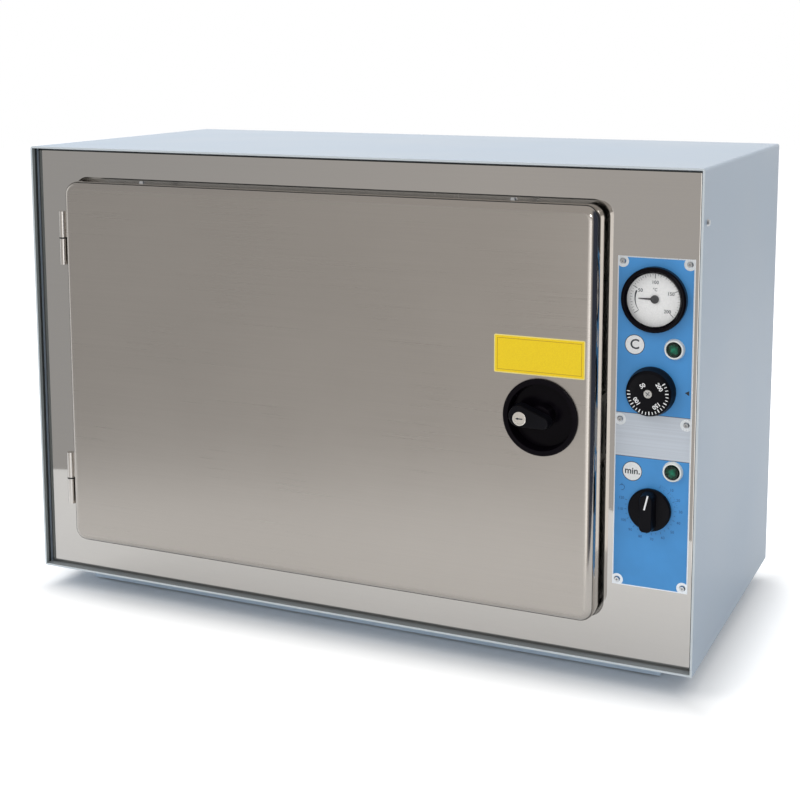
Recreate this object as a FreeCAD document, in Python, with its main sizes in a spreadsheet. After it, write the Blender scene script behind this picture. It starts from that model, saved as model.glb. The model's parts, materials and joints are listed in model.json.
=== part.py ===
"""Bench-top hot air sterilizer, modelled piece by piece in millimetres.

Frame: +Z up, the door faces -Y, +X is to the right of someone standing in front of it.
The origin is under the middle of the whole outline, on the surface the feet stand on.
"""
import FreeCAD
import Part
import math
import os
import types

import Sketcher

TINY = 0.01
HEAD_TAPER = 0.72

SIZES = {
    # Painted casing
    "case_width": 730.0,
    "case_depth": 352.0,
    "case_height": 468.0,
    "case_sheet": 1.0,
    "case_bend": 2.5,
    "hem_width": 8.0,
    "rear_return": 14.0,
    "pan_flange": 14.0,
    "fold_gap": 1.0,
    # Plinth and feet
    "plinth_height": 21.0,
    "plinth_setback": 39.0,
    "plinth_inset": 39.0,
    "plinth_sheet": 1.2,
    "plinth_flange": 26.0,
    "plinth_top_flange": 13.0,
    "pad_height": 2.0,
    "pad_radius": 10.0,
    "pad_foot_radius": 9.2,
    # Bright front panel
    "panel_recess": 8.5,
    "panel_sheet": 1.0,
    "panel_gap": 2.0,
    "panel_gap_depth": 3.5,
    "panel_flange": 14.0,
    "panel_bend": 2.0,
    "panel_hole_gap": 0.2,
    # Door
    "door_margin": 55.0,
    "control_column": 90.0,
    "door_rise": 42.5,
    "door_top_margin": 34.5,
    "door_thick": 45.0,
    "door_proud": 20.0,
    "door_sheet": 1.0,
    "door_corner": 14.0,
    "door_roll": 9.0,
    "door_gap": 3.0,
    "hinge_gap": 5.0,
    "inner_sheet": 1.0,
    "inner_flange": 30.0,
    "plug_reach": 14.0,
    "plug_gap": 7.0,
    "plug_corner": 14.0,
    "plug_bend": 5.0,
    "gasket_thick": 6.0,
    "gasket_width": 12.0,
    "gasket_lip": 6.0,
    "gasket_round": 2.4,
    "gasket_gap": 0.3,
    # Chamber
    "chamber_side": 42.5,
    "chamber_edge": 45.5,
    "rear_space": 17.7,
    "chamber_corner": 12.0,
    "liner_sheet": 1.0,
    "liner_overlap": 4.0,
    "side_wool": 40.0,
    "top_wool": 45.0,
    "back_wool": 32.0,
    "partition_sheet": 1.0,
    "partition_foot": 12.0,
    "passage_room": 3.0,
    "saddle_width": 24.0,
    "saddle_sheet": 1.5,
    "saddle_inset": 30.0,
    # Shelves and heater
    "floor_rise": 30.0,
    "shelf_pitch": 85.0,
    "shelf_lip": 10.0,
    "shelf_sheet": 1.2,
    "shelf_margin": 4.0,
    "shelf_back_gap": 24.0,
    "shelf_border": 30.0,
    "shelf_land": 16.0,
    "shelf_slot_width": 14.0,
    "shelf_slot_count": 13,
    "shelf_front_gap": 6.0,
    "runner_sheet": 1.0,
    "runner_ledge": 11.0,
    "runner_top": 20.0,
    "heater_radius": 4.0,
    "heater_rise": 18.0,
    "heater_side_gap": 12.0,
    "heater_front": 40.0,
    "heater_back": 44.0,
    "heater_tail": 34.0,
    "heater_collar_radius": 6.0,
    "heater_collar": 4.0,
    # Control plate
    "plate_margin": 43.5,
    "plate_width": 71.0,
    "plate_height": 310.0,
    "plate_drop": 3.0,
    "plate_thick": 0.8,
    "foil_thick": 0.3,
    "foil_margin": 1.0,
    "foil_notch": 5.6,
    "plate_screw_spread": 61.6,
    "plate_screw_rise": 150.2,
    "plate_screw_middle": 3.3,
    "plate_screw_head": 3.0,
    "plate_screw_thick": 1.6,
    "plate_screw_radius": 1.5,
    # Thermometer
    "gauge_shift": -0.5,
    "gauge_lift": 117.0,
    "gauge_radius": 30.0,
    "gauge_window": 24.4,
    "gauge_slope": 2.0,
    "gauge_bezel": 8.0,
    "gauge_lip": 2.4,
    "gauge_seat": 0.3,
    "gauge_round": 2.5,
    "gauge_case_radius": 27.5,
    "gauge_case_depth": 24.0,
    "gauge_case_wall": 1.2,
    "gauge_glass": 1.5,
    "gauge_dial": 0.8,
    "gauge_hub": 3.8,
    "gauge_hub_top": 2.4,
    "gauge_hub_height": 1.2,
    "gauge_hub_dome": 0.4,
    "gauge_arbor": 1.0,
    "needle_width": 1.1,
    "needle_tip": 0.35,
    "needle_reach": 15.0,
    "needle_thick": 0.5,
    "needle_gap": 0.4,
    "needle_stem": 6.0,
    # Thermostat and timer
    "stat_shift": -1.5,
    "stat_lift": 32.5,
    "stat_knob_radius": 22.5,
    "stat_knob_foot": 3.0,
    "stat_knob_height": 11.0,
    "stat_knob_top": 21.0,
    "stat_knob_edge": 2.5,
    "stat_knob_dip": 0.8,
    "stat_knob_ring": 13.0,
    "stat_knob_round": 1.0,
    "stat_body_radius": 21.0,
    "stat_body_step": 20.0,
    "stat_neck_radius": 15.0,
    "stat_body_depth": 34.0,
    "stat_cap_radius": 4.6,
    "stat_cap_top": 3.8,
    "stat_cap_well": 3.0,
    "timer_shift": -0.8,
    "timer_drop": 79.0,
    "timer_skirt_radius": 20.0,
    "timer_skirt": 4.0,
    "timer_skirt_round": 1.2,
    "timer_grip_height": 17.0,
    "timer_grip_width": 14.0,
    "timer_grip_inset": 1.5,
    "timer_grip_corner": 5.5,
    "timer_grip_draft": 6.0,
    "timer_grip_round": 1.2,
    "timer_cap": 3.0,
    "timer_body_width": 48.0,
    "timer_body_depth": 40.0,
    "timer_body_corner": 4.0,
    "spindle_radius": 3.0,
    "spindle_sink": 8.0,
    "spindle_end_gap": 0.3,
    "bush_radius": 5.0,
    "bush_reach": 3.2,
    "nut_width": 14.0,
    "nut_thick": 2.0,
    "nut_room": 8.7,
    "knob_gap": 0.4,
    "running_gap": 0.06,
    # Lamps
    "lamp_radius": 9.7,
    "lamp_upper_shift": 18.5,
    "lamp_upper_lift": 72.5,
    "lamp_lower_shift": 19.5,
    "lamp_lower_drop": 41.0,
    "lamp_rim_top": 8.6,
    "lamp_bezel": 3.0,
    "lamp_lens_radius": 7.2,
    "lamp_lens_top": 5.8,
    "lamp_lens": 4.2,
    "lamp_body_radius": 6.0,
    "lamp_body_depth": 26.0,
    # Sensors
    "bulb_radius": 3.0,
    "bulb_length": 70.0,
    "bulb_back_gap": 14.0,
    "capillary_radius": 1.0,
    "capillary_bend": 16.0,
    "clip_width": 6.0,
    "clip_thick": 1.5,
    "clip_inset": 17.5,
    "stat_bulb_drop": 6.0,
    # Hinges
    "hinge_axis_depth": 10.0,
    "hinge_knuckle": 4.0,
    "hinge_pin": 2.2,
    "hinge_length": 57.0,
    "hinge_washer": 1.6,
    "hinge_leaf": 1.5,
    "hinge_upper_drop": 61.0,
    "hinge_lower_lift": 66.5,
    "hinge_leaf_reach": 30.0,
    "hinge_side_gap": 0.2,
    "hinge_washer_radius": 4.3,
    "hinge_cap": 2.0,
    "hinge_pin_gap": 1.0,
    # Lock
    "lock_inset": 52.0,
    "lock_drop": 3.0,
    "dish_radius": 36.5,
    "dish_flange": 2.5,
    "dish_cup_radius": 31.5,
    "dish_cup_depth": 9.0,
    "dish_wall": 1.5,
    "dish_boss": 11.0,
    "dish_draft": 2.0,
    "dish_round": 1.25,
    "dish_hole_gap": 0.2,
    "lever_thick": 10.0,
    "lever_back_gap": 0.4,
    "lever_tip_x": 17.0,
    "lever_tip_rise": 1.8,
    "lever_tip_radius": 11.2,
    "lever_heel_x": 6.0,
    "lever_heel_drop": 2.6,
    "lever_heel_radius": 6.8,
    "lever_draft": 8.0,
    "lever_round": 1.5,
    "barrel_x": 16.0,
    "barrel_radius": 6.6,
    "barrel_proud": 1.0,
    "barrel_floor": 1.0,
    "barrel_round": 0.6,
    "key_radius": 4.6,
    "key_sink": 0.2,
    "key_end_gap": 0.1,
    "key_slot_width": 1.1,
    "key_slot_length": 6.5,
    "key_slot_depth": 5.0,
    "shaft_radius": 5.0,
    "shaft_side": 7.0,
    "shaft_end": 2.0,
    "cam_thick": 3.0,
    "cam_width": 16.0,
    "cam_length": 60.0,
    "cam_nose": 6.0,
    "cam_back_gap": 4.0,
    "cam_slot_play": 2.5,
    "cam_sweep": 38.0,
    "strike_sheet": 2.0,
    "strike_edge": 14.0,
    "strike_relief": 8.0,
    "lock_room": 6.0,
    # Screws and rear fittings
    "screw_back": 15.5,
    "screw_drop": 49.3,
    "screw_radius": 2.0,
    "screw_head": 3.5,
    "screw_head_thick": 2.0,
    "screw_length": 8.0,
    "screw_play": 0.05,
    "door_screw_spread": 205.0,
    "door_screw_depth": 20.0,
    "rear_screw_margin": 8.0,
    "rear_screw_low": 56.0,
    "rear_screw_spread": 119.0,
    "gland_rise": 60.0,
    "gland_bore": 3.8,
    "gland_radius": 8.0,
    "gland_hex": 22.0,
    "gland_hex_thick": 5.0,
    "gland_cap": 15.0,
    "gland_cap_radius": 10.0,
    "gland_cap_shoulder": 9.0,
    "gland_cap_round": 2.0,
    "gland_nose_radius": 6.2,
    "gland_tail": 9.0,
    "louvre_length": 52.0,
    "louvre_width": 4.0,
    "louvre_pitch": 12.0,
    "louvre_count": 12,
    "louvre_rise": 150.0,
    "vent_length": 34.0,
    "vent_count": 8,
    "vent_pitch": 14.0,
    "vent_start": 130.0,
    "terminal_width": 22.0,
    "terminal_height": 60.0,
    "terminal_depth": 18.0,
    "terminal_ways": 6,
    "terminal_groove": 1.5,
    "terminal_groove_depth": 6.0,
    "terminal_rise": 40.0,
    "terminal_back": 90.0,
}


class Formula:
    """A number worked out from cells of the sheet, with the text that binds it to them."""

    def __init__(self, value, text):
        self.value = value
        self.text = text

    def join(self, sign, other, swapped=False):
        other = as_formula(other)
        first, second = (other, self) if swapped else (self, other)
        value = {
            "+": lambda: first.value + second.value,
            "-": lambda: first.value - second.value,
            "*": lambda: first.value * second.value,
            "/": lambda: first.value / second.value,
        }[sign]()
        return Formula(value, "(%s %s %s)" % (first.text, sign, second.text))

    def __add__(self, other):
        return self.join("+", other)

    def __radd__(self, other):
        return self.join("+", other, True)

    def __sub__(self, other):
        return self.join("-", other)

    def __rsub__(self, other):
        return self.join("-", other, True)

    def __mul__(self, other):
        return self.join("*", other)

    def __rmul__(self, other):
        return self.join("*", other, True)

    def __truediv__(self, other):
        return self.join("/", other)

    def __neg__(self):
        return self.join("*", -1)


def as_formula(value):
    """Give a plain number the form of a formula."""
    if isinstance(value, Formula):
        return value
    return Formula(float(value), "%r" % float(value))


document = FreeCAD.newDocument("sterilizer")
sheet = document.addObject("Spreadsheet::Sheet", "Sizes")
for row, (name, number) in enumerate(SIZES.items(), start=1):
    sheet.set("A%d" % row, name)
    sheet.set("B%d" % row, str(number))
    sheet.setAlias("B%d" % row, name)
document.recompute()
s = types.SimpleNamespace(
    **{name: Formula(float(getattr(sheet, name)), "Sizes." + name) for name in SIZES}
)

# Places that several pieces share, from the middle of the casing's front edge at its underside
wall_x = s.case_width / 2 - s.case_sheet
roof_z = s.case_height - s.case_sheet
panel_y = s.panel_recess
panel_back = s.panel_recess + s.panel_sheet
door_left = s.door_margin - s.case_width / 2
door_right = s.case_width / 2 - s.control_column
door_low = s.door_rise
door_high = s.case_height - s.door_top_margin
door_width = door_right - door_left
door_height = door_high - door_low
door_centre = (door_left + door_right) / 2
door_mid = (door_low + door_high) / 2
door_face = -s.door_proud
door_back = door_face + s.door_thick
door_plate = door_back - s.inner_sheet
open_left = door_left - s.hinge_gap
open_right = door_right + s.door_gap
open_low = door_low - s.door_gap
open_high = door_high + s.door_gap
open_corner = s.door_corner + s.door_gap
mouth_y = door_back + s.gasket_thick + s.gasket_gap
chamber_left = door_left + s.chamber_side
chamber_right = door_right - s.chamber_side
chamber_low = door_low + s.chamber_edge
chamber_high = door_high - s.chamber_edge
wool_back = s.case_depth - s.rear_space
liner_back = wool_back - s.back_wool
chamber_back = liner_back - s.liner_sheet
chamber_width = chamber_right - chamber_left
chamber_height = chamber_high - chamber_low
chamber_depth = chamber_back - mouth_y
liner_left = chamber_left - s.liner_sheet
liner_right = chamber_right + s.liner_sheet
liner_low = chamber_low - s.liner_sheet
liner_high = chamber_high + s.liner_sheet
wool_front = mouth_y + s.liner_sheet
wool_left = liner_left - s.side_wool
wool_right = liner_right + s.side_wool
wool_low = liner_low - s.top_wool
wool_high = liner_high + s.top_wool
plate_x = s.case_width / 2 - s.plate_margin
plate_z = s.case_height / 2 - s.plate_drop
plate_y = panel_y - s.plate_thick
foil_y = plate_y - s.foil_thick
gauge_x = plate_x + s.gauge_shift
gauge_z = plate_z + s.gauge_lift
stat_x = plate_x + s.stat_shift
stat_z = plate_z + s.stat_lift
timer_x = plate_x + s.timer_shift
timer_z = plate_z - s.timer_drop
bush_run = panel_back - foil_y + s.bush_reach
sink_run = s.spindle_sink + bush_run + s.knob_gap
pivot_x = open_left + s.hinge_leaf - s.hinge_knuckle
pivot_y = -s.hinge_axis_depth
lock_x = door_right - s.lock_inset
lock_z = door_mid - s.lock_drop
dish_front = door_face - s.dish_flange
lever_back = dish_front - s.lever_back_gap
lever_front = lever_back - s.lever_thick
cam_y = door_plate - s.cam_back_gap - s.cam_thick
screw_z = s.case_height - s.screw_drop
bulb_y = chamber_back - s.bulb_back_gap
stat_bulb_z = door_mid - s.stat_bulb_drop
heater_z = chamber_low + s.heater_rise
heater_pitch = (chamber_depth - s.heater_front - s.heater_back) / 3
floor_z = chamber_low + s.floor_rise
shelf_front = mouth_y + s.plug_reach + s.shelf_front_gap
shelf_depth = chamber_back - shelf_front - s.shelf_back_gap
shelf_low_z = floor_z + s.shelf_pitch
shelf_high_z = shelf_low_z + s.shelf_pitch
front_reach = s.barrel_proud - lever_front
rear_reach = s.gland_hex_thick + s.gland_cap
front_y = (front_reach - s.case_depth - rear_reach) / 2
base_z = s.pad_height + s.plinth_height

TURNS = {
    "+z": FreeCAD.Rotation(),
    "-y": FreeCAD.Rotation(FreeCAD.Vector(1, 0, 0), 90),
    "+y": FreeCAD.Rotation(FreeCAD.Vector(1, 0, 0), -90),
    "+x": FreeCAD.Rotation(FreeCAD.Vector(0, 1, 0), 90),
    "-x": FreeCAD.Rotation(FreeCAD.Vector(0, 1, 0), -90),
}
NORMAL_SIGN = {"XY_Plane": 1, "XZ_Plane": -1, "YZ_Plane": 1}


def bind(thing, path, value):
    """Bind one property of an object to a formula."""
    thing.setExpression(path, as_formula(value).text)


def stand(thing, x, y, z, turn="+z"):
    """Place an object, measured from the casing's front lower edge."""
    spot = (as_formula(x), front_y + y, base_z + z)
    thing.Placement = FreeCAD.Placement(FreeCAD.Vector(*[part.value for part in spot]), TURNS[turn])
    for axis, part in zip("xyz", spot):
        thing.setExpression("Placement.Base." + axis, part.text)
    return thing


def new_body(label, x=0, y=0, z=0):
    """Start a body whose sketches are drawn from one place on the casing."""
    body = document.addObject("PartDesign::Body", label)
    body.Label = label
    stand(body, x, y, z)
    return body


def new_sketch(body, role, offset=0):
    """Put an empty sketch on one of the body's own planes, moved along that plane's axis."""
    sketch = body.newObject("Sketcher::SketchObject", body.Name + "_sketch")
    plane = next(item for item in body.Origin.OriginFeatures if item.Role == role)
    sketch.AttachmentSupport = [(plane, "")]
    sketch.MapMode = "FlatFace"
    bind(sketch, "AttachmentOffset.Base.z", as_formula(offset) * NORMAL_SIGN[role])
    return sketch


def tie(sketch, kind, index, point, value):
    """Hold one coordinate of a point at a formula."""
    number = sketch.addConstraint(Sketcher.Constraint(kind, -1, 1, index, point, value.value))
    sketch.setExpression("Constraints[%d]" % number, value.text)


def outline(sketch, corners):
    """Draw a closed outline with straight sides through corners given as formulas."""
    spots = [(as_formula(x), as_formula(y)) for x, y in corners]
    count = len(spots)
    first = sketch.GeometryCount
    for index, (x, y) in enumerate(spots):
        end_x, end_y = spots[(index + 1) % count]
        start = FreeCAD.Vector(x.value, y.value, 0)
        sketch.addGeometry(Part.LineSegment(start, FreeCAD.Vector(end_x.value, end_y.value, 0)))
    for index, (x, y) in enumerate(spots):
        before = first + (index - 1) % count
        sketch.addConstraint(Sketcher.Constraint("Coincident", before, 2, first + index, 1))
        tie(sketch, "DistanceX", first + index, 1, x)
        tie(sketch, "DistanceY", first + index, 1, y)


def frame_outline(sketch, left, right, low, high):
    """Draw a rectangle from four formulas."""
    outline(sketch, [(left, low), (right, low), (right, high), (left, high)])


def rounded_outline(sketch, left, right, low, high, radius):
    """Draw a rectangle with round corners."""
    left, right, low, high, radius = [as_formula(item) for item in (left, right, low, high, radius)]
    first = sketch.GeometryCount
    inner = (left.value + radius.value, right.value - radius.value)
    rows = (low.value + radius.value, high.value - radius.value)
    sides = [
        ((inner[0], low.value), (inner[1], low.value)),
        ((right.value, rows[0]), (right.value, rows[1])),
        ((inner[1], high.value), (inner[0], high.value)),
        ((left.value, rows[1]), (left.value, rows[0])),
    ]
    for start, end in sides:
        sketch.addGeometry(Part.LineSegment(FreeCAD.Vector(*start, 0), FreeCAD.Vector(*end, 0)))
    centres = [(inner[1], rows[0]), (inner[1], rows[1]), (inner[0], rows[1]), (inner[0], rows[0])]
    quarter = math.pi / 2
    for index, centre in enumerate(centres):
        circle = Part.Circle(FreeCAD.Vector(*centre, 0), FreeCAD.Vector(0, 0, 1), radius.value)
        sketch.addGeometry(Part.ArcOfCircle(circle, (index - 1) * quarter, index * quarter))
    for index in range(4):
        arc = first + 4 + index
        sketch.addConstraint(Sketcher.Constraint("Tangent", first + index, 2, arc, 1))
        sketch.addConstraint(Sketcher.Constraint("Tangent", arc, 2, first + (index + 1) % 4, 1))
        if index:
            sketch.addConstraint(Sketcher.Constraint("Equal", first + 4, arc))
    number = sketch.addConstraint(Sketcher.Constraint("Radius", first + 4, radius.value))
    sketch.setExpression("Constraints[%d]" % number, radius.text)
    for index, kind in enumerate(("Horizontal", "Vertical", "Horizontal", "Vertical")):
        sketch.addConstraint(Sketcher.Constraint(kind, first + index))
    tie(sketch, "DistanceY", first, 1, low)
    tie(sketch, "DistanceX", first + 1, 1, right)
    tie(sketch, "DistanceY", first + 2, 1, high)
    tie(sketch, "DistanceX", first + 3, 1, left)


def bar_outline(sketch, x_one, y_one, radius_one, x_two, y_two, radius_two):
    """Draw a bar with two round ends, the first at the left, joined by tangent sides."""
    ends = [[as_formula(part) for part in end]
            for end in ((x_one, y_one, radius_one), (x_two, y_two, radius_two))]
    first = sketch.GeometryCount
    quarter = math.pi / 2
    for (x, y, radius), span in zip(ends, ((quarter, quarter * 3), (-quarter, quarter))):
        centre = FreeCAD.Vector(x.value, y.value, 0)
        circle = Part.Circle(centre, FreeCAD.Vector(0, 0, 1), radius.value)
        sketch.addGeometry(Part.ArcOfCircle(circle, *span))
    for way in (-1, 1):
        spots = [FreeCAD.Vector(x.value, y.value + radius.value * way, 0) for x, y, radius in ends]
        sketch.addGeometry(Part.LineSegment(*spots))
    left, right, lower, upper = range(first, first + 4)
    for one, one_end, two, two_end in ((left, 2, lower, 1), (lower, 2, right, 1), (right, 2, upper, 2),
                                       (upper, 1, left, 1)):
        sketch.addConstraint(Sketcher.Constraint("Tangent", one, one_end, two, two_end))
    for arc, (x, y, radius) in zip((left, right), ends):
        number = sketch.addConstraint(Sketcher.Constraint("Radius", arc, radius.value))
        sketch.setExpression("Constraints[%d]" % number, radius.text)
        tie(sketch, "DistanceX", arc, 3, x)
        tie(sketch, "DistanceY", arc, 3, y)


def ring_outline(sketch, x, y, radius):
    """Draw a circle."""
    x, y, radius = as_formula(x), as_formula(y), as_formula(radius)
    centre = FreeCAD.Vector(x.value, y.value, 0)
    index = sketch.addGeometry(Part.Circle(centre, FreeCAD.Vector(0, 0, 1), radius.value))
    number = sketch.addConstraint(Sketcher.Constraint("Radius", index, radius.value))
    sketch.setExpression("Constraints[%d]" % number, radius.text)
    tie(sketch, "DistanceX", index, 3, x)
    tie(sketch, "DistanceY", index, 3, y)


def tube(body, radius, path, section_role, offset, spine):
    """Sweep a round section along an open path that is already drawn."""
    section = new_sketch(body, section_role, offset)
    ring_outline(section, 0, 0, radius)
    document.recompute()
    pipe = body.newObject("PartDesign::AdditivePipe", body.Name + "_pipe")
    pipe.Profile = section
    pipe.Spine = (path, ["Edge%d" % (n + 1) for n in range(spine)])
    document.recompute()


def extrude(body, kind, sketch, length, forward=True):
    """Pad or pocket a sketch along the positive axis of its plane, or against it."""
    feature = body.newObject("PartDesign::" + kind, body.Name + "_" + kind.lower())
    feature.Profile = sketch
    sketch.Visibility = False
    role = sketch.AttachmentSupport[0][0].Role
    along_normal = forward == (NORMAL_SIGN[role] > 0)
    feature.Reversed = not along_normal if kind == "Pad" else along_normal
    if length is None:
        feature.Type = "ThroughAll"
        feature.Midplane = True
    else:
        bind(feature, "Length", length)
    document.recompute()
    return feature


def pad(body, sketch, length, forward=True):
    """Raise a sketch along its plane's axis."""
    return extrude(body, "Pad", sketch, length, forward)


def pocket(body, sketch, length=None, forward=True):
    """Cut a sketch along its plane's axis, or right through."""
    before = body.Shape.Volume
    feature = extrude(body, "Pocket", sketch, length, forward)
    if body.Shape.Volume > before - TINY:
        raise RuntimeError("a pocket in %s cut nothing" % body.Label)
    return feature


def turn_profile(body, corners, axis="H_Axis", role="YZ_Plane", cut=False):
    """Revolve a closed outline about an axis of its sketch."""
    sketch = new_sketch(body, role)
    outline(sketch, corners)
    kind = "Groove" if cut else "Revolution"
    feature = body.newObject("PartDesign::" + kind, body.Name + "_turn")
    feature.Profile = sketch
    sketch.Visibility = False
    feature.ReferenceAxis = (sketch, [axis])
    feature.Angle = 360
    document.recompute()
    return feature


def round_edges(body, radius, chosen, kind="Fillet"):
    """Round or bevel the edges of the body that a test picks."""
    base = body.Tip
    names = ["Edge%d" % (n + 1) for n, edge in enumerate(base.Shape.Edges) if chosen(edge)]
    if not names:
        raise RuntimeError("no edge of %s was picked" % body.Label)
    feature = body.newObject("PartDesign::" + kind, body.Name + "_" + kind.lower())
    feature.Base = (base, names)
    bind(feature, "Radius" if kind == "Fillet" else "Size", radius)
    document.recompute()
    return feature


def lies_at(axis, value):
    """Test whether an edge lies wholly at one coordinate, measured in its body."""
    goal = as_formula(value).value

    def chosen(edge):
        box = edge.BoundBox
        low = getattr(box, axis.upper() + "Min")
        high = getattr(box, axis.upper() + "Max")
        return abs(low - goal) < TINY and abs(high - goal) < TINY

    return chosen


def circles_at(axis, value, radius):
    """Test for a full circle of one radius at one coordinate."""
    flat = lies_at(axis, value)
    goal = as_formula(radius).value

    def chosen(edge):
        is_circle = isinstance(edge.Curve, Part.Circle) and abs(edge.Curve.Radius - goal) < TINY
        return is_circle and flat(edge)

    return chosen


def repeat(body, feature, axis, pitch, count):
    """Repeat a cut along one axis of its sketch."""
    document.recompute()
    pattern = body.newObject("PartDesign::LinearPattern", body.Name + "_pattern")
    pattern.Originals = [feature]
    pattern.Direction = (feature.Profile[0], [axis])
    pattern.Mode = "Spacing"
    bind(pattern, "Offset", pitch)
    bind(pattern, "Occurrences", count)
    body.Tip = pattern
    document.recompute()
    return pattern


def cylinder(name, radius, height, x, y, z, turn="+z"):
    """Make a bound cylinder."""
    made = document.addObject("Part::Cylinder", name)
    bind(made, "Radius", radius)
    bind(made, "Height", height)
    return stand(made, x, y, z, turn)


def cone(name, low_radius, high_radius, height, x, y, z, turn="+z"):
    """Make a bound cone frustum."""
    made = document.addObject("Part::Cone", name)
    bind(made, "Radius1", low_radius)
    bind(made, "Radius2", high_radius)
    bind(made, "Height", height)
    return stand(made, x, y, z, turn)


def box(name, width, depth, height, x, y, z):
    """Make a bound box from its lowest corner."""
    made = document.addObject("Part::Box", name)
    bind(made, "Length", width)
    bind(made, "Width", depth)
    bind(made, "Height", height)
    return stand(made, x, y, z)


def hexagon(name, across, height, x, y, z, turn="+z"):
    """Make a bound hexagonal prism from its width across the flats."""
    made = document.addObject("Part::Prism", name)
    made.Polygon = 6
    bind(made, "Circumradius", as_formula(across) / 1.7320508)
    bind(made, "Height", height)
    return stand(made, x, y, z, turn)


def fuse(name, shapes):
    """Join touching shapes into one solid."""
    made = document.addObject("Part::MultiFuse", name)
    made.Shapes = shapes
    made.Refine = True
    return made


def cut(name, base, tools):
    """Cut one or more shapes out of another."""
    made = document.addObject("Part::Cut", name)
    made.Base = base
    made.Tool = tools[0] if len(tools) == 1 else fuse(name + "_tools", tools)
    return made


def group(name, shapes):
    """Keep separate solids together in one piece list."""
    made = document.addObject("Part::Compound", name)
    made.Links = shapes
    return made


def finished(thing, label):
    """Give a finished piece its name and put it on the list to write."""
    thing.Label = label
    pieces.append(thing)
    return thing


pieces = []


def screw(name, x, y, z, turn, head=None, thick=None, shank=None):
    """A pan-head screw whose head sits on the surface it is placed on."""
    head = head or s.screw_head
    thick = thick or s.screw_head_thick
    shank = shank or s.screw_radius
    away = TURNS[turn].multVec(FreeCAD.Vector(0, 0, 1))
    start = [as_formula(at) - s.screw_length * round(step) for at, step in zip((x, y, z), away)]
    top = cone(name + "_head", head, head * HEAD_TAPER, thick, x, y, z, turn)
    body = cylinder(name + "_shank", shank - s.screw_play, s.screw_length, *start, turn)
    return fuse(name, [top, body])


def make_casing():
    """Folded top and sides with a hemmed front edge and rear returns."""
    body = new_body("casing_wrap")
    inner = s.case_sheet
    hem = s.case_sheet * 2
    rear_face = s.case_depth - s.case_sheet * 2

    def arch(sketch, outer_inset, inner_inset, foot):
        far = s.case_width / 2 - outer_inset
        near = s.case_width / 2 - inner_inset
        over = s.case_height - outer_inset
        under = s.case_height - inner_inset
        outline(sketch, [
            (-far, foot), (-near, foot), (-near, under), (near, under),
            (near, foot), (far, foot), (far, over), (-far, over),
        ])

    shell = new_sketch(body, "XZ_Plane")
    arch(shell, 0, inner, 0)
    pad(body, shell, s.case_depth)
    round_edges(body, s.case_bend, lambda edge: abs(edge.BoundBox.YLength - s.case_depth.value) < TINY
                and abs(edge.BoundBox.ZMax - s.case_height.value) < TINY)
    front_hem = new_sketch(body, "XZ_Plane")
    arch(front_hem, inner, hem, s.case_sheet)
    pad(body, front_hem, s.hem_width)
    rear = new_sketch(body, "XZ_Plane", rear_face)
    arch(rear, inner, inner + s.rear_return, s.case_sheet)
    pad(body, rear, s.case_sheet)
    holes = new_sketch(body, "YZ_Plane")
    ring_outline(holes, s.screw_back, screw_z, s.screw_radius)
    pocket(body, holes)
    rear_holes = new_sketch(body, "XZ_Plane", rear_face)
    for x, z in rear_screw_places():
        ring_outline(rear_holes, x, z, s.screw_radius)
    pocket(body, rear_holes)
    finished(body, "casing_wrap")


def rear_screw_places():
    """Screws along both sides and the top of the rear panel."""
    side = wall_x - s.rear_screw_margin
    top = roof_z - s.rear_screw_margin
    places = [(side * way, z) for way in (-1, 1) for z in (s.rear_screw_low, s.case_height / 2)]
    places += [(side * way, top) for way in (-1, 1)]
    places += [(s.rear_screw_spread * way, top) for way in (-1, 1)]
    return places


def make_base_pan():
    """Base plate with a hemmed front edge, side and rear flanges and cooling slots."""
    body = new_body("base_pan")
    plate = new_sketch(body, "XY_Plane")
    frame_outline(plate, -wall_x, wall_x, 0, s.case_depth - s.case_sheet)
    pad(body, plate, s.case_sheet)
    hem = new_sketch(body, "XY_Plane", s.case_sheet)
    frame_outline(hem, s.case_sheet - wall_x, wall_x - s.case_sheet, 0, s.hem_width)
    pad(body, hem, s.case_sheet)
    flange_front = panel_back + s.panel_flange + s.panel_gap_depth
    flange_back = s.case_depth - s.case_sheet * 3
    sides = new_sketch(body, "XY_Plane", s.case_sheet)
    frame_outline(sides, -wall_x, s.case_sheet - wall_x, flange_front, flange_back)
    frame_outline(sides, wall_x - s.case_sheet, wall_x, flange_front, flange_back)
    pad(body, sides, s.pan_flange)
    rear = new_sketch(body, "XY_Plane", s.case_sheet)
    reach = wall_x - s.rear_return - s.fold_gap
    frame_outline(rear, -reach, reach, s.case_depth - s.case_sheet * 2, s.case_depth - s.case_sheet)
    pad(body, rear, s.pan_flange)
    slot = new_sketch(body, "XY_Plane")
    middle = (wool_right + s.partition_sheet + wall_x) / 2
    frame_outline(slot, middle - s.vent_length / 2, middle + s.vent_length / 2,
                  s.vent_start, s.vent_start + s.louvre_width)
    first = pocket(body, slot)
    repeat(body, first, "V_Axis", s.vent_pitch, s.vent_count)
    finished(body, "base_pan")


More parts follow.
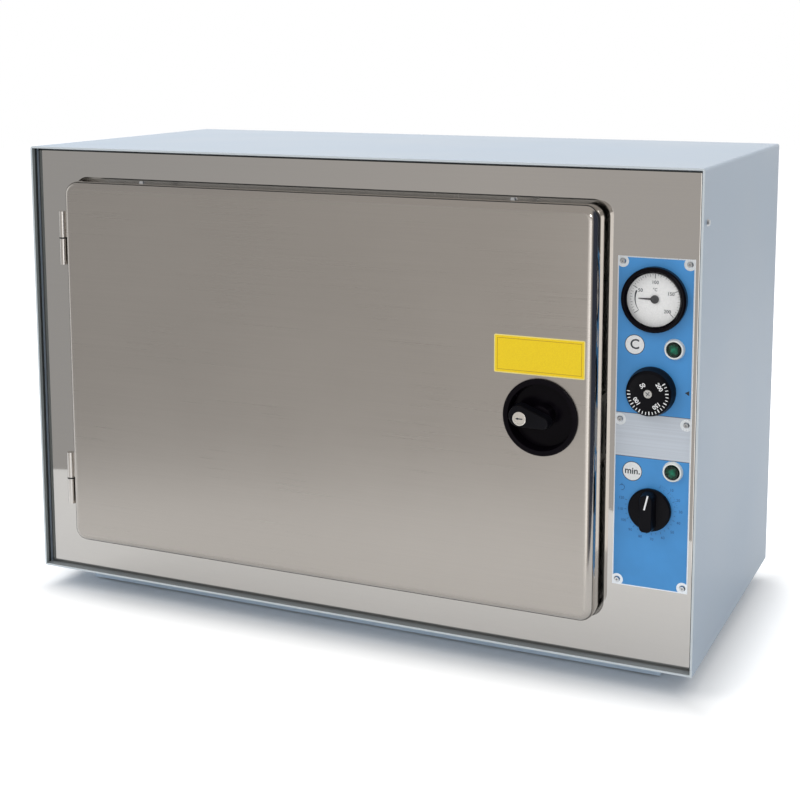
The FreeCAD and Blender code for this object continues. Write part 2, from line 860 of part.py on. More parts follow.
def make_plinth():
    """Folded channel frame under the casing, set back on all sides, on four rubber pads."""
    body = new_body("plinth", 0, 0, -s.plinth_height)
    side = s.case_width / 2 - s.plinth_inset
    near = s.plinth_setback
    far = s.case_depth - s.plinth_setback

    def band(offset, inset, height):
        sketch = new_sketch(body, "XY_Plane", offset)
        frame_outline(sketch, -side, side, near, far)
        frame_outline(sketch, inset - side, side - inset, near + inset, far - inset)
        pad(body, sketch, height)

    band(0, s.plinth_flange, s.plinth_sheet)
    band(s.plinth_sheet, s.plinth_sheet, s.plinth_height - s.plinth_sheet * 2)
    band(s.plinth_height - s.plinth_sheet, s.plinth_top_flange, s.plinth_sheet)
    finished(body, "plinth")
    inset = (s.plinth_flange + s.plinth_sheet) / 2
    places = [(way * (side - inset), y) for way in (-1, 1) for y in (near + inset, far - inset)]
    pads = [cone("pad_%d" % n, s.pad_foot_radius, s.pad_radius, s.pad_height, x, y, -base_z)
            for n, (x, y) in enumerate(places)]
    finished(group("rubber_feet_group", pads), "rubber_feet")


def make_rear_panel():
    """Flat rear panel with cooling slots behind the instrument space."""
    body = new_body("rear_panel", 0, s.case_depth - s.case_sheet, 0)
    plate = new_sketch(body, "XZ_Plane")
    frame_outline(plate, -wall_x, wall_x, 0, roof_z)
    ring_outline(plate, plate_x, s.gland_rise, s.gland_radius)
    for x, z in rear_screw_places():
        ring_outline(plate, x, z, s.screw_radius)
    pad(body, plate, s.case_sheet)
    slot = new_sketch(body, "XZ_Plane")
    frame_outline(slot, plate_x - s.louvre_length / 2, plate_x + s.louvre_length / 2,
                  s.louvre_rise, s.louvre_rise + s.louvre_width)
    first = pocket(body, slot)
    repeat(body, first, "V_Axis", s.louvre_pitch, s.louvre_count)
    finished(body, "rear_panel")
    screws = [screw("rear_screw_%d" % n, x, s.case_depth, z, "+y")
              for n, (x, z) in enumerate(rear_screw_places())]
    screws += [screw("side_screw_%d" % n, s.case_width / 2 * way, s.screw_back, screw_z, turn)
               for n, (way, turn) in enumerate(((-1, "-x"), (1, "+x")))]
    finished(group("casing_screw_group", screws), "casing_screws")


def instrument_holes(sketch):
    """Draw the holes that the instruments need, measured from the casing's front lower edge."""
    bush_hole = s.bush_radius + s.panel_hole_gap
    lamp_hole = s.lamp_body_radius + s.panel_hole_gap
    ring_outline(sketch, gauge_x, gauge_z, s.gauge_case_radius + s.panel_hole_gap)
    ring_outline(sketch, stat_x, stat_z, bush_hole)
    ring_outline(sketch, timer_x, timer_z, bush_hole)
    for x, z in lamp_places():
        ring_outline(sketch, x, z, lamp_hole)


def lamp_places():
    """Middles of the two lamps."""
    return [(plate_x + s.lamp_upper_shift, plate_z + s.lamp_upper_lift),
            (plate_x + s.lamp_lower_shift, plate_z - s.lamp_lower_drop)]


def plate_screw_places():
    """Six screws of the control plate."""
    middle = plate_z
    rows = (middle + s.plate_screw_rise, middle + s.plate_screw_middle, middle - s.plate_screw_rise)
    return [(plate_x + s.plate_screw_spread * way / 2, z) for z in rows for way in (-1, 1)]


def make_front_panel():
    """Bright panel: a folded tray with a joggled edge, the door opening and its throat."""
    body = new_body("front_panel", 0, panel_y, 0)
    side = wall_x - s.panel_gap
    low = s.case_sheet + s.panel_gap
    high = roof_z - s.panel_gap
    throat = mouth_y - panel_back
    gauge = s.panel_sheet

    def opening(sketch, grow):
        rounded_outline(sketch, open_left - grow, open_right + grow, open_low - grow, open_high + grow,
                        open_corner + grow)

    face = new_sketch(body, "XZ_Plane")
    frame_outline(face, -side, side, low, high)
    pad(body, face, s.panel_sheet + s.panel_gap_depth)
    round_edges(body, s.panel_bend, lies_at("y", 0))
    hollow = new_sketch(body, "XZ_Plane", s.panel_sheet)
    frame_outline(hollow, gauge - side, side - gauge, low + gauge, high - gauge)
    pocket(body, hollow, s.panel_gap_depth)
    step = gauge + s.panel_gap_depth
    joggle = new_sketch(body, "XZ_Plane", step - gauge)
    frame_outline(joggle, -wall_x, wall_x, s.case_sheet, roof_z)
    frame_outline(joggle, gauge - side, side - gauge, low + gauge, high - gauge)
    pad(body, joggle, s.panel_sheet)
    flange = new_sketch(body, "XZ_Plane", step)
    frame_outline(flange, -wall_x, wall_x, s.case_sheet, roof_z)
    frame_outline(flange, gauge - wall_x, wall_x - gauge, s.case_sheet + gauge, roof_z - gauge)
    pad(body, flange, s.panel_flange)
    collar = new_sketch(body, "XZ_Plane", s.panel_sheet)
    opening(collar, s.panel_sheet)
    pad(body, collar, throat)
    window = new_sketch(body, "XZ_Plane")
    opening(window, 0)
    pocket(body, window)
    holes = new_sketch(body, "XZ_Plane")
    instrument_holes(holes)
    for x, z in plate_screw_places():
        ring_outline(holes, x, z, s.plate_screw_radius)
    pocket(body, holes)
    bolt_hole = new_sketch(body, "YZ_Plane")
    ring_outline(bolt_hole, s.screw_back - panel_y, screw_z, s.screw_radius)
    pocket(body, bolt_hole)
    strike = new_sketch(body, "YZ_Plane", open_right - s.panel_sheet)
    frame_outline(strike, gauge, mouth_y - panel_y, lock_z - s.cam_sweep - s.strike_relief,
                  lock_z + s.cam_width / 2 + s.cam_slot_play + s.strike_relief)
    pocket(body, strike, s.panel_sheet * 3)
    finished(body, "front_panel")


def cam_window(sketch, y, z):
    """Draw the slot that the lock cam swings into, on a sketch whose body starts at y and z."""
    play = s.cam_slot_play
    frame_outline(sketch, cam_y - play - y, cam_y + s.cam_thick + play - y,
                  lock_z - s.cam_sweep - z, lock_z + s.cam_width / 2 + play - z)


def make_door():
    """Pressed door pan with rolled front edges, closed by an inner panel with a plug."""
    width = door_width / 2
    height = door_height / 2
    shell = new_body("door_outer_shell", door_centre, door_face, door_mid)
    depth = s.door_thick - s.inner_sheet
    block = new_sketch(shell, "XZ_Plane")
    rounded_outline(block, -width, width, -height, height, s.door_corner)
    pad(shell, block, depth)
    round_edges(shell, s.door_roll, lies_at("y", 0))
    wall = s.door_sheet
    shell_base = shell.Tip
    rear = next("Face%d" % (n + 1) for n, face in enumerate(shell_base.Shape.Faces)
                if abs(face.BoundBox.YMin - depth.value) < TINY)
    hollow = shell.newObject("PartDesign::Thickness", "door_shell_hollow")
    hollow.Base = (shell_base, [rear])
    hollow.Reversed = True
    hollow.Join = 0
    bind(hollow, "Value", wall)
    document.recompute()
    lock_hole = new_sketch(shell, "XZ_Plane")
    ring_outline(lock_hole, lock_x - door_centre, lock_z - door_mid,
                 s.dish_cup_radius + s.dish_wall + s.dish_hole_gap)
    pocket(shell, lock_hole, s.door_roll)
    slot = new_sketch(shell, "YZ_Plane", width - wall * 2)
    cam_window(slot, door_face, door_mid)
    pocket(shell, slot, wall * 3)
    pins = new_sketch(shell, "XY_Plane")
    for way in (-1, 1):
        ring_outline(pins, s.door_screw_spread * way, s.door_screw_depth, s.screw_radius)
    pocket(shell, pins)
    finished(shell, "door_outer_shell")

    inner = new_body("door_inner_panel", door_centre, door_plate, door_mid)
    face = new_sketch(inner, "XZ_Plane")
    rounded_outline(face, -width, width, -height, height, s.door_corner)
    pad(inner, face, s.inner_sheet)
    flange = new_sketch(inner, "XZ_Plane")
    rim = s.door_corner - wall
    rounded_outline(flange, wall - width, width - wall, wall - height, height - wall, rim)
    gauge = s.inner_sheet
    lip = wall + gauge
    rounded_outline(flange, lip - width, width - lip, lip - height, height - lip, rim - gauge)
    pad(inner, flange, s.inner_flange, forward=False)
    half = chamber_width / 2 - s.plug_gap
    tall = chamber_height / 2 - s.plug_gap
    reach = s.gasket_thick + s.gasket_gap + s.plug_reach
    plug = new_sketch(inner, "XZ_Plane", s.inner_sheet)
    rounded_outline(plug, -half, half, -tall, tall, s.plug_corner)
    pad(inner, plug, reach)
    void = new_sketch(inner, "XZ_Plane")
    rounded_outline(void, gauge - half, half - gauge, gauge - tall, tall - gauge, s.plug_corner - gauge)
    pocket(inner, void, reach)
    round_edges(inner, s.plug_bend - gauge, lies_at("y", reach))
    round_edges(inner, s.plug_bend, lies_at("y", gauge + reach))
    side_slot = new_sketch(inner, "YZ_Plane", width - lip - gauge)
    cam_window(side_slot, door_plate, door_mid)
    pocket(inner, side_slot, wall + gauge * 2)
    taps = new_sketch(inner, "XY_Plane")
    tap_y = s.door_screw_depth + door_face - door_plate
    for way in (-1, 1):
        ring_outline(taps, s.door_screw_spread * way, tap_y, s.screw_radius)
    pocket(inner, taps)
    finished(inner, "door_inner_panel")

    seal = new_body("door_gasket", door_centre, door_back, door_mid)
    band = new_sketch(seal, "XZ_Plane")
    inner_x = half + s.gasket_lip
    inner_z = tall + s.gasket_lip
    rounded_outline(band, -inner_x, inner_x, -inner_z, inner_z, s.plug_corner)
    rounded_outline(band, -inner_x - s.gasket_width, inner_x + s.gasket_width, -inner_z - s.gasket_width,
                    inner_z + s.gasket_width, s.plug_corner + s.gasket_width)
    pad(seal, band, s.gasket_thick)
    round_edges(seal, s.gasket_round, lies_at("y", s.gasket_thick))
    finished(seal, "door_gasket")

    screws = [screw("door_screw_%d" % n, door_centre + s.door_screw_spread * way,
                    door_face + s.door_screw_depth, door_high, "+z") for n, way in enumerate((-1, 1))]
    finished(group("door_screw_group", screws), "door_screws")


def make_door_wool():
    """Mineral wool that fills the door around the lock and behind the edge screws."""
    wool = new_body("door_insulation", door_centre, door_face + s.door_sheet, door_mid)
    clear = s.door_sheet + s.inner_sheet
    width = door_width / 2 - clear
    height = door_height / 2 - clear
    block = new_sketch(wool, "XZ_Plane")
    rounded_outline(block, -width, width, -height, height, s.door_corner - clear)
    pad(wool, block, s.door_thick - s.door_sheet - s.inner_sheet)
    round_edges(wool, s.door_roll, lies_at("y", 0))
    room = new_sketch(wool, "XZ_Plane")
    low = lock_z - door_mid - s.cam_length - s.lock_room
    frame_outline(room, lock_x - door_centre - s.dish_radius - s.lock_room, width + s.lock_room,
                  low, lock_z - door_mid + s.dish_radius + s.lock_room)
    pocket(wool, room)
    bolts = new_sketch(wool, "XZ_Plane")
    for way in (-1, 1):
        middle = s.door_screw_spread * way
        frame_outline(bolts, middle - s.screw_head, middle + s.screw_head,
                      height - s.screw_length, height + s.lock_room)
    pocket(wool, bolts)
    finished(wool, "door_insulation")


def make_hinges():
    """Two lift-off barrel hinges: frame half with the pin below, door half above."""
    half = (s.hinge_length - s.hinge_washer) / 2
    parts = {"frame": [], "door": [], "pin": [], "washer": []}
    for name, middle in (("upper", door_high - s.hinge_upper_drop), ("lower", door_low + s.hinge_lower_lift)):
        low = middle - s.hinge_length / 2
        split = low + half
        top = split + s.hinge_washer

        def barrel(part, radius, height, z):
            return cylinder(name + part, radius, height, pivot_x, pivot_y, z)

        leaf = box(name + "_frame_leaf", s.hinge_leaf, s.hinge_leaf_reach, half, open_left, pivot_y, low)
        joined = fuse(name + "_frame_joined", [barrel("_frame_knuckle", s.hinge_knuckle, half, low), leaf])
        seat = barrel("_frame_hole", s.hinge_pin, half, low)
        parts["frame"].append(cut(name + "_frame_half", joined, [seat]))
        arm_y = pivot_y - s.hinge_leaf / 2
        arm = box(name + "_door_arm", door_left - pivot_x, s.hinge_leaf, half, pivot_x, arm_y, top)
        blade = box(name + "_door_leaf", s.hinge_leaf, s.hinge_leaf_reach, half,
                    door_left - s.hinge_leaf, arm_y, top)
        knuckle = barrel("_door_knuckle", s.hinge_knuckle, half, top)
        running = barrel("_door_hole", s.hinge_pin + s.running_gap, half - s.hinge_cap, top)
        moving = fuse(name + "_door_joined", [knuckle, arm, blade])
        parts["door"].append(cut(name + "_door_half", moving, [running]))
        pin_length = s.hinge_length - s.hinge_cap - s.hinge_pin_gap
        parts["pin"].append(barrel("_pin", s.hinge_pin, pin_length, low))
        ring = barrel("_ring", s.hinge_washer_radius, s.hinge_washer - s.hinge_side_gap, split)
        ring_hole = barrel("_ring_hole", s.hinge_pin, s.hinge_washer, split)
        parts["washer"].append(cut(name + "_washer", ring, [ring_hole]))
    finished(group("frame_leaf_group", parts["frame"]), "hinge_frame_leaves")
    finished(group("door_leaf_group", parts["door"]), "hinge_door_leaves")
    finished(group("pin_group", parts["pin"]), "hinge_pins")
    finished(group("washer_group", parts["washer"]), "hinge_washers")


def make_lock():
    """Round finger dish, a drafted lever with a key cylinder, the shaft behind it, its cam and strike."""
    dish = new_body("latch_dish", lock_x, door_face, lock_z)
    cup = s.dish_cup_radius
    floor = s.dish_cup_depth
    boss = s.dish_boss
    wall = s.dish_wall
    rim = -s.dish_flange
    bore = s.shaft_radius + s.running_gap
    draft = s.dish_draft
    turn_profile(dish, [
        (rim, bore), (rim, boss), (floor, boss + draft / 2), (floor, cup - draft), (rim, cup),
        (rim, s.dish_radius), (0, s.dish_radius), (0, cup + wall), (floor + wall, cup + wall - draft),
        (floor + wall, bore),
    ])
    round_edges(dish, s.dish_round, circles_at("y", rim, s.dish_radius))
    finished(dish, "latch_dish")

    lever = new_body("latch_lever", lock_x, lever_back, lock_z)
    profile = new_sketch(lever, "XZ_Plane")
    bar_outline(profile, -s.lever_tip_x, s.lever_tip_rise, s.lever_tip_radius,
                s.lever_heel_x, -s.lever_heel_drop, s.lever_heel_radius)
    lever_pad = pad(lever, profile, s.lever_thick, forward=False)
    bind(lever_pad, "TaperAngle", -s.lever_draft)
    document.recompute()
    round_edges(lever, s.lever_round, lies_at("y", -s.lever_thick))
    well = new_sketch(lever, "XZ_Plane")
    ring_outline(well, -s.barrel_x, 0, s.barrel_radius)
    pocket(lever, well)
    finished(lever, "latch_lever")

    barrel = new_body("lock_barrel", lock_x - s.barrel_x, lever_back, lock_z)
    reach = s.lever_thick + s.barrel_proud
    key_bore = s.key_radius + s.running_gap
    end = s.barrel_floor
    turn_profile(barrel, [(0, 0), (0, s.barrel_radius), (-reach, s.barrel_radius), (-reach, key_bore),
                          (-end, key_bore), (-end, 0)])
    round_edges(barrel, s.barrel_round, circles_at("y", -reach, s.barrel_radius))
    finished(barrel, "lock_barrel")

    plug = new_body("lock_plug", lock_x - s.barrel_x, lever_back, lock_z)
    face = reach - s.key_sink
    start = end + s.key_end_gap
    turn_profile(plug, [(-start, 0), (-start, s.key_radius), (-face, s.key_radius), (-face, 0)])
    key = new_sketch(plug, "XZ_Plane", -face)
    frame_outline(key, -s.key_slot_length / 2, s.key_slot_length / 2,
                  -s.key_slot_width / 2, s.key_slot_width / 2)
    pocket(plug, key, s.key_slot_depth)
    finished(plug, "lock_plug")

    shaft = new_body("latch_shaft", lock_x, lever_back, lock_z)
    journal = new_sketch(shaft, "XZ_Plane")
    ring_outline(journal, 0, 0, s.shaft_radius)
    pad(shaft, journal, cam_y - lever_back)
    square = new_sketch(shaft, "XZ_Plane", cam_y - lever_back)
    side = s.shaft_side / 2
    frame_outline(square, -side, side, -side, side)
    pad(shaft, square, s.cam_thick + s.shaft_end)
    finished(shaft, "latch_shaft")

    cam = new_body("latch_cam", lock_x, cam_y, lock_z)
    blade = new_sketch(cam, "XZ_Plane")
    half = s.cam_width / 2
    nose = s.cam_nose
    outline(blade, [
        (-half, half), (-half, nose - s.cam_length), (nose - half, -s.cam_length),
        (half, -s.cam_length), (half, half),
    ])
    frame_outline(blade, -side, side, -side, side)
    pad(cam, blade, s.cam_thick)
    finished(cam, "latch_cam")

    strike = new_body("strike_plate", open_right + s.panel_sheet, cam_y, lock_z)
    plate = new_sketch(strike, "YZ_Plane")
    frame_outline(plate, panel_back - cam_y, mouth_y - cam_y, -s.cam_sweep - s.strike_edge,
                  s.cam_width / 2 + s.cam_slot_play + s.strike_edge)
    cam_window(plate, cam_y, lock_z)
    pad(strike, plate, s.strike_sheet)
    finished(strike, "strike_plate")


def make_chamber():
    """Welded chamber liner with a flanged mouth."""
    liner = new_body("chamber_liner", door_centre, mouth_y, door_mid)
    wide = chamber_width / 2
    tall = chamber_height / 2
    gauge = s.liner_sheet
    lap = s.liner_overlap
    flange = new_sketch(liner, "XZ_Plane")
    frame_outline(flange, open_left - lap - door_centre, open_right + lap - door_centre,
                  open_low - lap - door_mid, open_high + lap - door_mid)
    pad(liner, flange, gauge)
    tub = new_sketch(liner, "XZ_Plane")
    rounded_outline(tub, -wide - gauge, wide + gauge, -tall - gauge, tall + gauge, s.chamber_corner + gauge)
    pad(liner, tub, chamber_depth + gauge)
    void = new_sketch(liner, "XZ_Plane")
    rounded_outline(void, -wide, wide, -tall, tall, s.chamber_corner)
    pocket(liner, void, chamber_depth)
    holes = new_sketch(liner, "YZ_Plane", wide - gauge)
    for y, z, radius in wall_passages():
        ring_outline(holes, y - mouth_y, z - door_mid, radius)
    pocket(liner, holes, gauge * 3)
    finished(liner, "chamber_liner")


def wall_passages():
    """Holes in the right wall of the chamber: two capillaries and two heater ends."""
    thin = s.capillary_radius + s.running_gap
    thick = s.heater_radius + s.running_gap
    return [(bulb_y, gauge_z, thin), (bulb_y, stat_bulb_z, thin)] + [
        (y, heater_z, thick) for y in heater_ends()]


def heater_ends():
    """Where the two heater ends pass the chamber wall."""
    first = mouth_y + s.heater_front
    return [first, first + heater_pitch * 3]


def make_insulation():
    """Mineral wool round the chamber and behind it, and the sheet that keeps it off the instruments."""
    wrap = new_body("insulation_wrap", 0, wool_front, 0)
    ring = new_sketch(wrap, "XZ_Plane")
    frame_outline(ring, wool_left, wool_right, wool_low, wool_high)
    rounded_outline(ring, liner_left, liner_right, liner_low, liner_high, s.chamber_corner + s.liner_sheet)
    pad(wrap, ring, liner_back - wool_front)
    holes = new_sketch(wrap, "YZ_Plane", liner_right - s.liner_sheet)
    for y, z, radius in wall_passages():
        ring_outline(holes, y - wool_front, z, radius + s.passage_room)
    pocket(wrap, holes, s.side_wool + s.liner_sheet * 2)
    finished(wrap, "insulation_wrap")
    back = box("insulation_back_block", wool_right - wool_left, s.back_wool, wool_high - wool_low,
               wool_left, liner_back, wool_low)
    finished(back, "insulation_back")

    sheet_body = new_body("partition_plate", wool_right, wool_front, s.case_sheet)
    plate = new_sketch(sheet_body, "YZ_Plane")
    deep = wool_back - wool_front
    frame_outline(plate, 0, deep, 0, roof_z - s.case_sheet)
    for y, z, radius in wall_passages():
        ring_outline(plate, y - wool_front, z - s.case_sheet, radius + s.passage_room)
    pad(sheet_body, plate, s.partition_sheet)
    foot = new_sketch(sheet_body, "XY_Plane")
    frame_outline(foot, s.partition_sheet, s.partition_foot, 0, deep)
    pad(sheet_body, foot, s.partition_sheet)
    top = new_sketch(sheet_body, "XY_Plane", roof_z - s.case_sheet - s.partition_sheet)
    frame_outline(top, s.partition_sheet, s.partition_foot, 0, deep)
    pad(sheet_body, top, s.partition_sheet)
    finished(sheet_body, "partition_plate")

    rows = (wool_front + s.saddle_inset, wool_back - s.saddle_inset - s.saddle_width)
    gauge = s.saddle_sheet
    long = wool_right - wool_left
    rails = []
    for n, y in enumerate(rows):
        block = box("saddle_block_%d" % n, long, s.saddle_width, wool_low - s.case_sheet,
                    wool_left, y, s.case_sheet)
        hollow = box("saddle_hollow_%d" % n, long + gauge * 2, s.saddle_width - gauge * 2,
                     wool_low - s.case_sheet, wool_left - gauge, y + gauge, s.case_sheet - gauge)
        rails.append(cut("saddle_%d" % n, block, [hollow]))
    finished(group("saddle_group", rails), "chamber_saddles")


def make_racks():
    """Runners, perforated floor and two perforated shelves."""
    depth = shelf_depth
    gauge = s.runner_sheet
    floor_ledge = floor_z - chamber_low - s.shelf_sheet
    ledges = [floor_ledge] + [level - chamber_low - s.shelf_lip for level in (shelf_low_z, shelf_high_z)]
    runners = []
    for name, way, wall in (("left", 1, chamber_left), ("right", -1, chamber_right)):
        runner = new_body("shelf_runner_" + name, wall, shelf_front, chamber_low)
        comb = new_sketch(runner, "XZ_Plane")
        corners = [(0, floor_ledge - gauge)]
        for number, ledge in enumerate(ledges):
            if number:
                corners.append((gauge * way, ledge - gauge))
            corners.append((s.runner_ledge * way, ledge - gauge))
            corners.append((s.runner_ledge * way, ledge))
            corners.append((gauge * way, ledge))
        top = chamber_height - s.runner_top
        corners += [(gauge * way, top), (0, top)]
        outline(comb, corners)
        pad(runner, comb, depth)
        runners.append(runner)
    finished(group("runner_group", runners), "shelf_runners")

    side = chamber_width / 2 - gauge - s.shelf_margin
    slot_length = (depth - s.shelf_land * 3) / 2
    slot_pitch = (side * 2 - s.shelf_border * 2 - s.shelf_slot_width) / (s.shelf_slot_count - 1)
    first_slot = s.shelf_border - side
    levels = {"floor_plate": floor_z, "shelf_lower": shelf_low_z, "shelf_upper": shelf_high_z}
    for label, level in levels.items():
        shelf = new_body(label, door_centre, shelf_front, level - s.shelf_sheet)
        plate = new_sketch(shelf, "XY_Plane")
        frame_outline(plate, -side, side, 0, depth)
        pad(shelf, plate, s.shelf_sheet)
        if label != "floor_plate":
            fold = new_sketch(shelf, "XY_Plane")
            frame_outline(fold, -side, side, 0, s.shelf_sheet)
            frame_outline(fold, -side, side, depth - s.shelf_sheet, depth)
            pad(shelf, fold, s.shelf_lip - s.shelf_sheet, forward=False)
        slots = new_sketch(shelf, "XY_Plane")
        for start in (s.shelf_land, s.shelf_land * 2 + slot_length):
            frame_outline(slots, first_slot, first_slot + s.shelf_slot_width, start, start + slot_length)
        first = pocket(shelf, slots)
        repeat(shelf, first, "H_Axis", slot_pitch, s.shelf_slot_count)
        finished(shelf, label)


def make_heater():
    """Tubular heater under the perforated floor, both ends through the right wall."""
    body = new_body("heater_element", chamber_right, mouth_y + s.heater_front, heater_z)
    path = new_sketch(body, "XY_Plane")
    pitch = heater_pitch
    radius = pitch / 2
    tail = s.side_wool + s.liner_sheet + s.partition_sheet + s.heater_tail
    left = radius + s.heater_side_gap - chamber_width
    right = -radius - s.heater_side_gap
    ends = [(tail, left), (left, right), (right, left), (left, tail)]
    for row, (start, end) in enumerate(ends):
        height = pitch.value * row
        path.addGeometry(Part.LineSegment(FreeCAD.Vector(start.value, height, 0),
                                          FreeCAD.Vector(end.value, height, 0)))
    quarter = math.pi / 2
    for index, (x, way) in enumerate(((left, -1), (right, 1), (left, -1))):
        centre = FreeCAD.Vector(x.value, pitch.value * (index + 0.5), 0)
        circle = Part.Circle(centre, FreeCAD.Vector(0, 0, 1), radius.value)
        span = (-quarter, quarter) if way > 0 else (quarter, quarter * 3)
        path.addGeometry(Part.ArcOfCircle(circle, *span))
    for index in range(4):
        path.addConstraint(Sketcher.Constraint("Horizontal", index))
        tie(path, "DistanceX", index, 2, ends[index][1])
    tie(path, "DistanceX", 0, 1, tail)
    for index, way in enumerate((-1, 1, -1)):
        low_point, high_point = (2, 1) if way < 0 else (1, 2)
        path.addConstraint(Sketcher.Constraint("Tangent", index, 2, 4 + index, low_point))
        path.addConstraint(Sketcher.Constraint("Tangent", 4 + index, high_point, index + 1, 1))
        number = path.addConstraint(Sketcher.Constraint("Radius", 4 + index, radius.value))
        path.setExpression("Constraints[%d]" % number, radius.text)
    path.addConstraint(Sketcher.Constraint("PointOnObject", 0, 1, -1))
    tube(body, s.heater_radius, path, "YZ_Plane", tail, 7)
    collars = new_sketch(body, "YZ_Plane", -s.heater_collar)
    for row in (0, 3):
        ring_outline(collars, pitch * row, 0, s.heater_collar_radius)
    pad(body, collars, s.heater_collar)
    finished(body, "heater_element")


def make_sensors():
    """Bulbs on clips across the chamber's rear wall, with capillaries to the instruments."""
    clips = []
    for label, rise, instrument_x, back in (
        ("thermometer", gauge_z, gauge_x, foil_y + s.gauge_case_depth),
        ("thermostat", stat_bulb_z, stat_x, panel_back + s.stat_body_depth),
    ):
        bulb_end = chamber_right - s.capillary_bend
        bulb = cylinder(label + "_bulb_rod", s.bulb_radius, s.bulb_length, bulb_end, bulb_y, rise, "-x")
        finished(bulb, label + "_bulb")
        body = new_body(label + "_capillary", instrument_x, back, rise)
        path = new_sketch(body, "XY_Plane")
        run = bulb_y - back
        bend = s.capillary_bend
        far = bulb_end - instrument_x
        straight = (run - bend).value
        path.addGeometry(Part.LineSegment(FreeCAD.Vector(0, 0, 0), FreeCAD.Vector(0, straight, 0)))
        circle = Part.Circle(FreeCAD.Vector(-bend.value, straight, 0), FreeCAD.Vector(0, 0, 1), bend.value)
        path.addGeometry(Part.ArcOfCircle(circle, 0, math.pi / 2))
        path.addGeometry(Part.LineSegment(FreeCAD.Vector(-bend.value, run.value, 0),
                                          FreeCAD.Vector(far.value, run.value, 0)))
        path.addConstraint(Sketcher.Constraint("Coincident", 0, 1, -1, 1))
        path.addConstraint(Sketcher.Constraint("Vertical", 0))
        path.addConstraint(Sketcher.Constraint("Horizontal", 2))
        path.addConstraint(Sketcher.Constraint("Tangent", 0, 2, 1, 1))
        path.addConstraint(Sketcher.Constraint("Tangent", 1, 2, 2, 1))
        number = path.addConstraint(Sketcher.Constraint("Radius", 1, bend.value))
        path.setExpression("Constraints[%d]" % number, bend.text)
        tie(path, "DistanceY", 2, 2, run)
        tie(path, "DistanceX", 2, 2, far)
        tube(body, s.capillary_radius, path, "XZ_Plane", 0, 3)
        finished(body, label + "_capillary")
        for n in range(2):
            name = "%s_clip_%d" % (label, n)
            x = bulb_end - s.clip_inset - (s.bulb_length - s.clip_inset * 2) * n - s.clip_width / 2
            grip = s.bulb_radius + s.clip_thick
            jaw = cylinder(name + "_jaw", grip, s.clip_width, x, bulb_y, rise, "+x")
            stem = box(name + "_stem", s.clip_width, s.bulb_back_gap, s.clip_thick * 2,
                       x, bulb_y, rise - s.clip_thick)
            bore = cylinder(name + "_bore", s.bulb_radius, s.clip_width, x, bulb_y, rise, "+x")
            clips.append(cut(name, fuse(name + "_joined", [jaw, stem]), [bore]))
    finished(group("clip_group", clips), "sensor_clips")


def make_control_plate():
    """Metal plate with a printed foil, six screws and holes for the instruments."""
    wide = s.plate_width / 2
    tall = s.plate_height / 2
    for label, depth, thick, margin in (
        ("control_plate", plate_y, s.plate_thick, 0),
        ("control_foil", foil_y, s.foil_thick, s.foil_margin),
    ):
        body = new_body(label, 0, depth, 0)
        sketch = new_sketch(body, "XZ_Plane")
        frame_outline(sketch, plate_x - wide + margin, plate_x + wide - margin,
                      plate_z - tall + margin, plate_z + tall - margin)
        pad(body, sketch, thick)
        holes = new_sketch(body, "XZ_Plane")
        instrument_holes(holes)
        pocket(body, holes)
        bolts = new_sketch(body, "XZ_Plane")
        radius = s.plate_screw_radius if label == "control_plate" else s.foil_notch
        for x, z in plate_screw_places():
            ring_outline(bolts, x, z, radius)
        pocket(body, bolts)
        finished(body, label)
    screws = [screw("plate_screw_%d" % n, x, plate_y, z, "-y", s.plate_screw_head, s.plate_screw_thick,
                    s.plate_screw_radius) for n, (x, z) in enumerate(plate_screw_places())]
    finished(group("plate_screw_group", screws), "control_plate_screws")


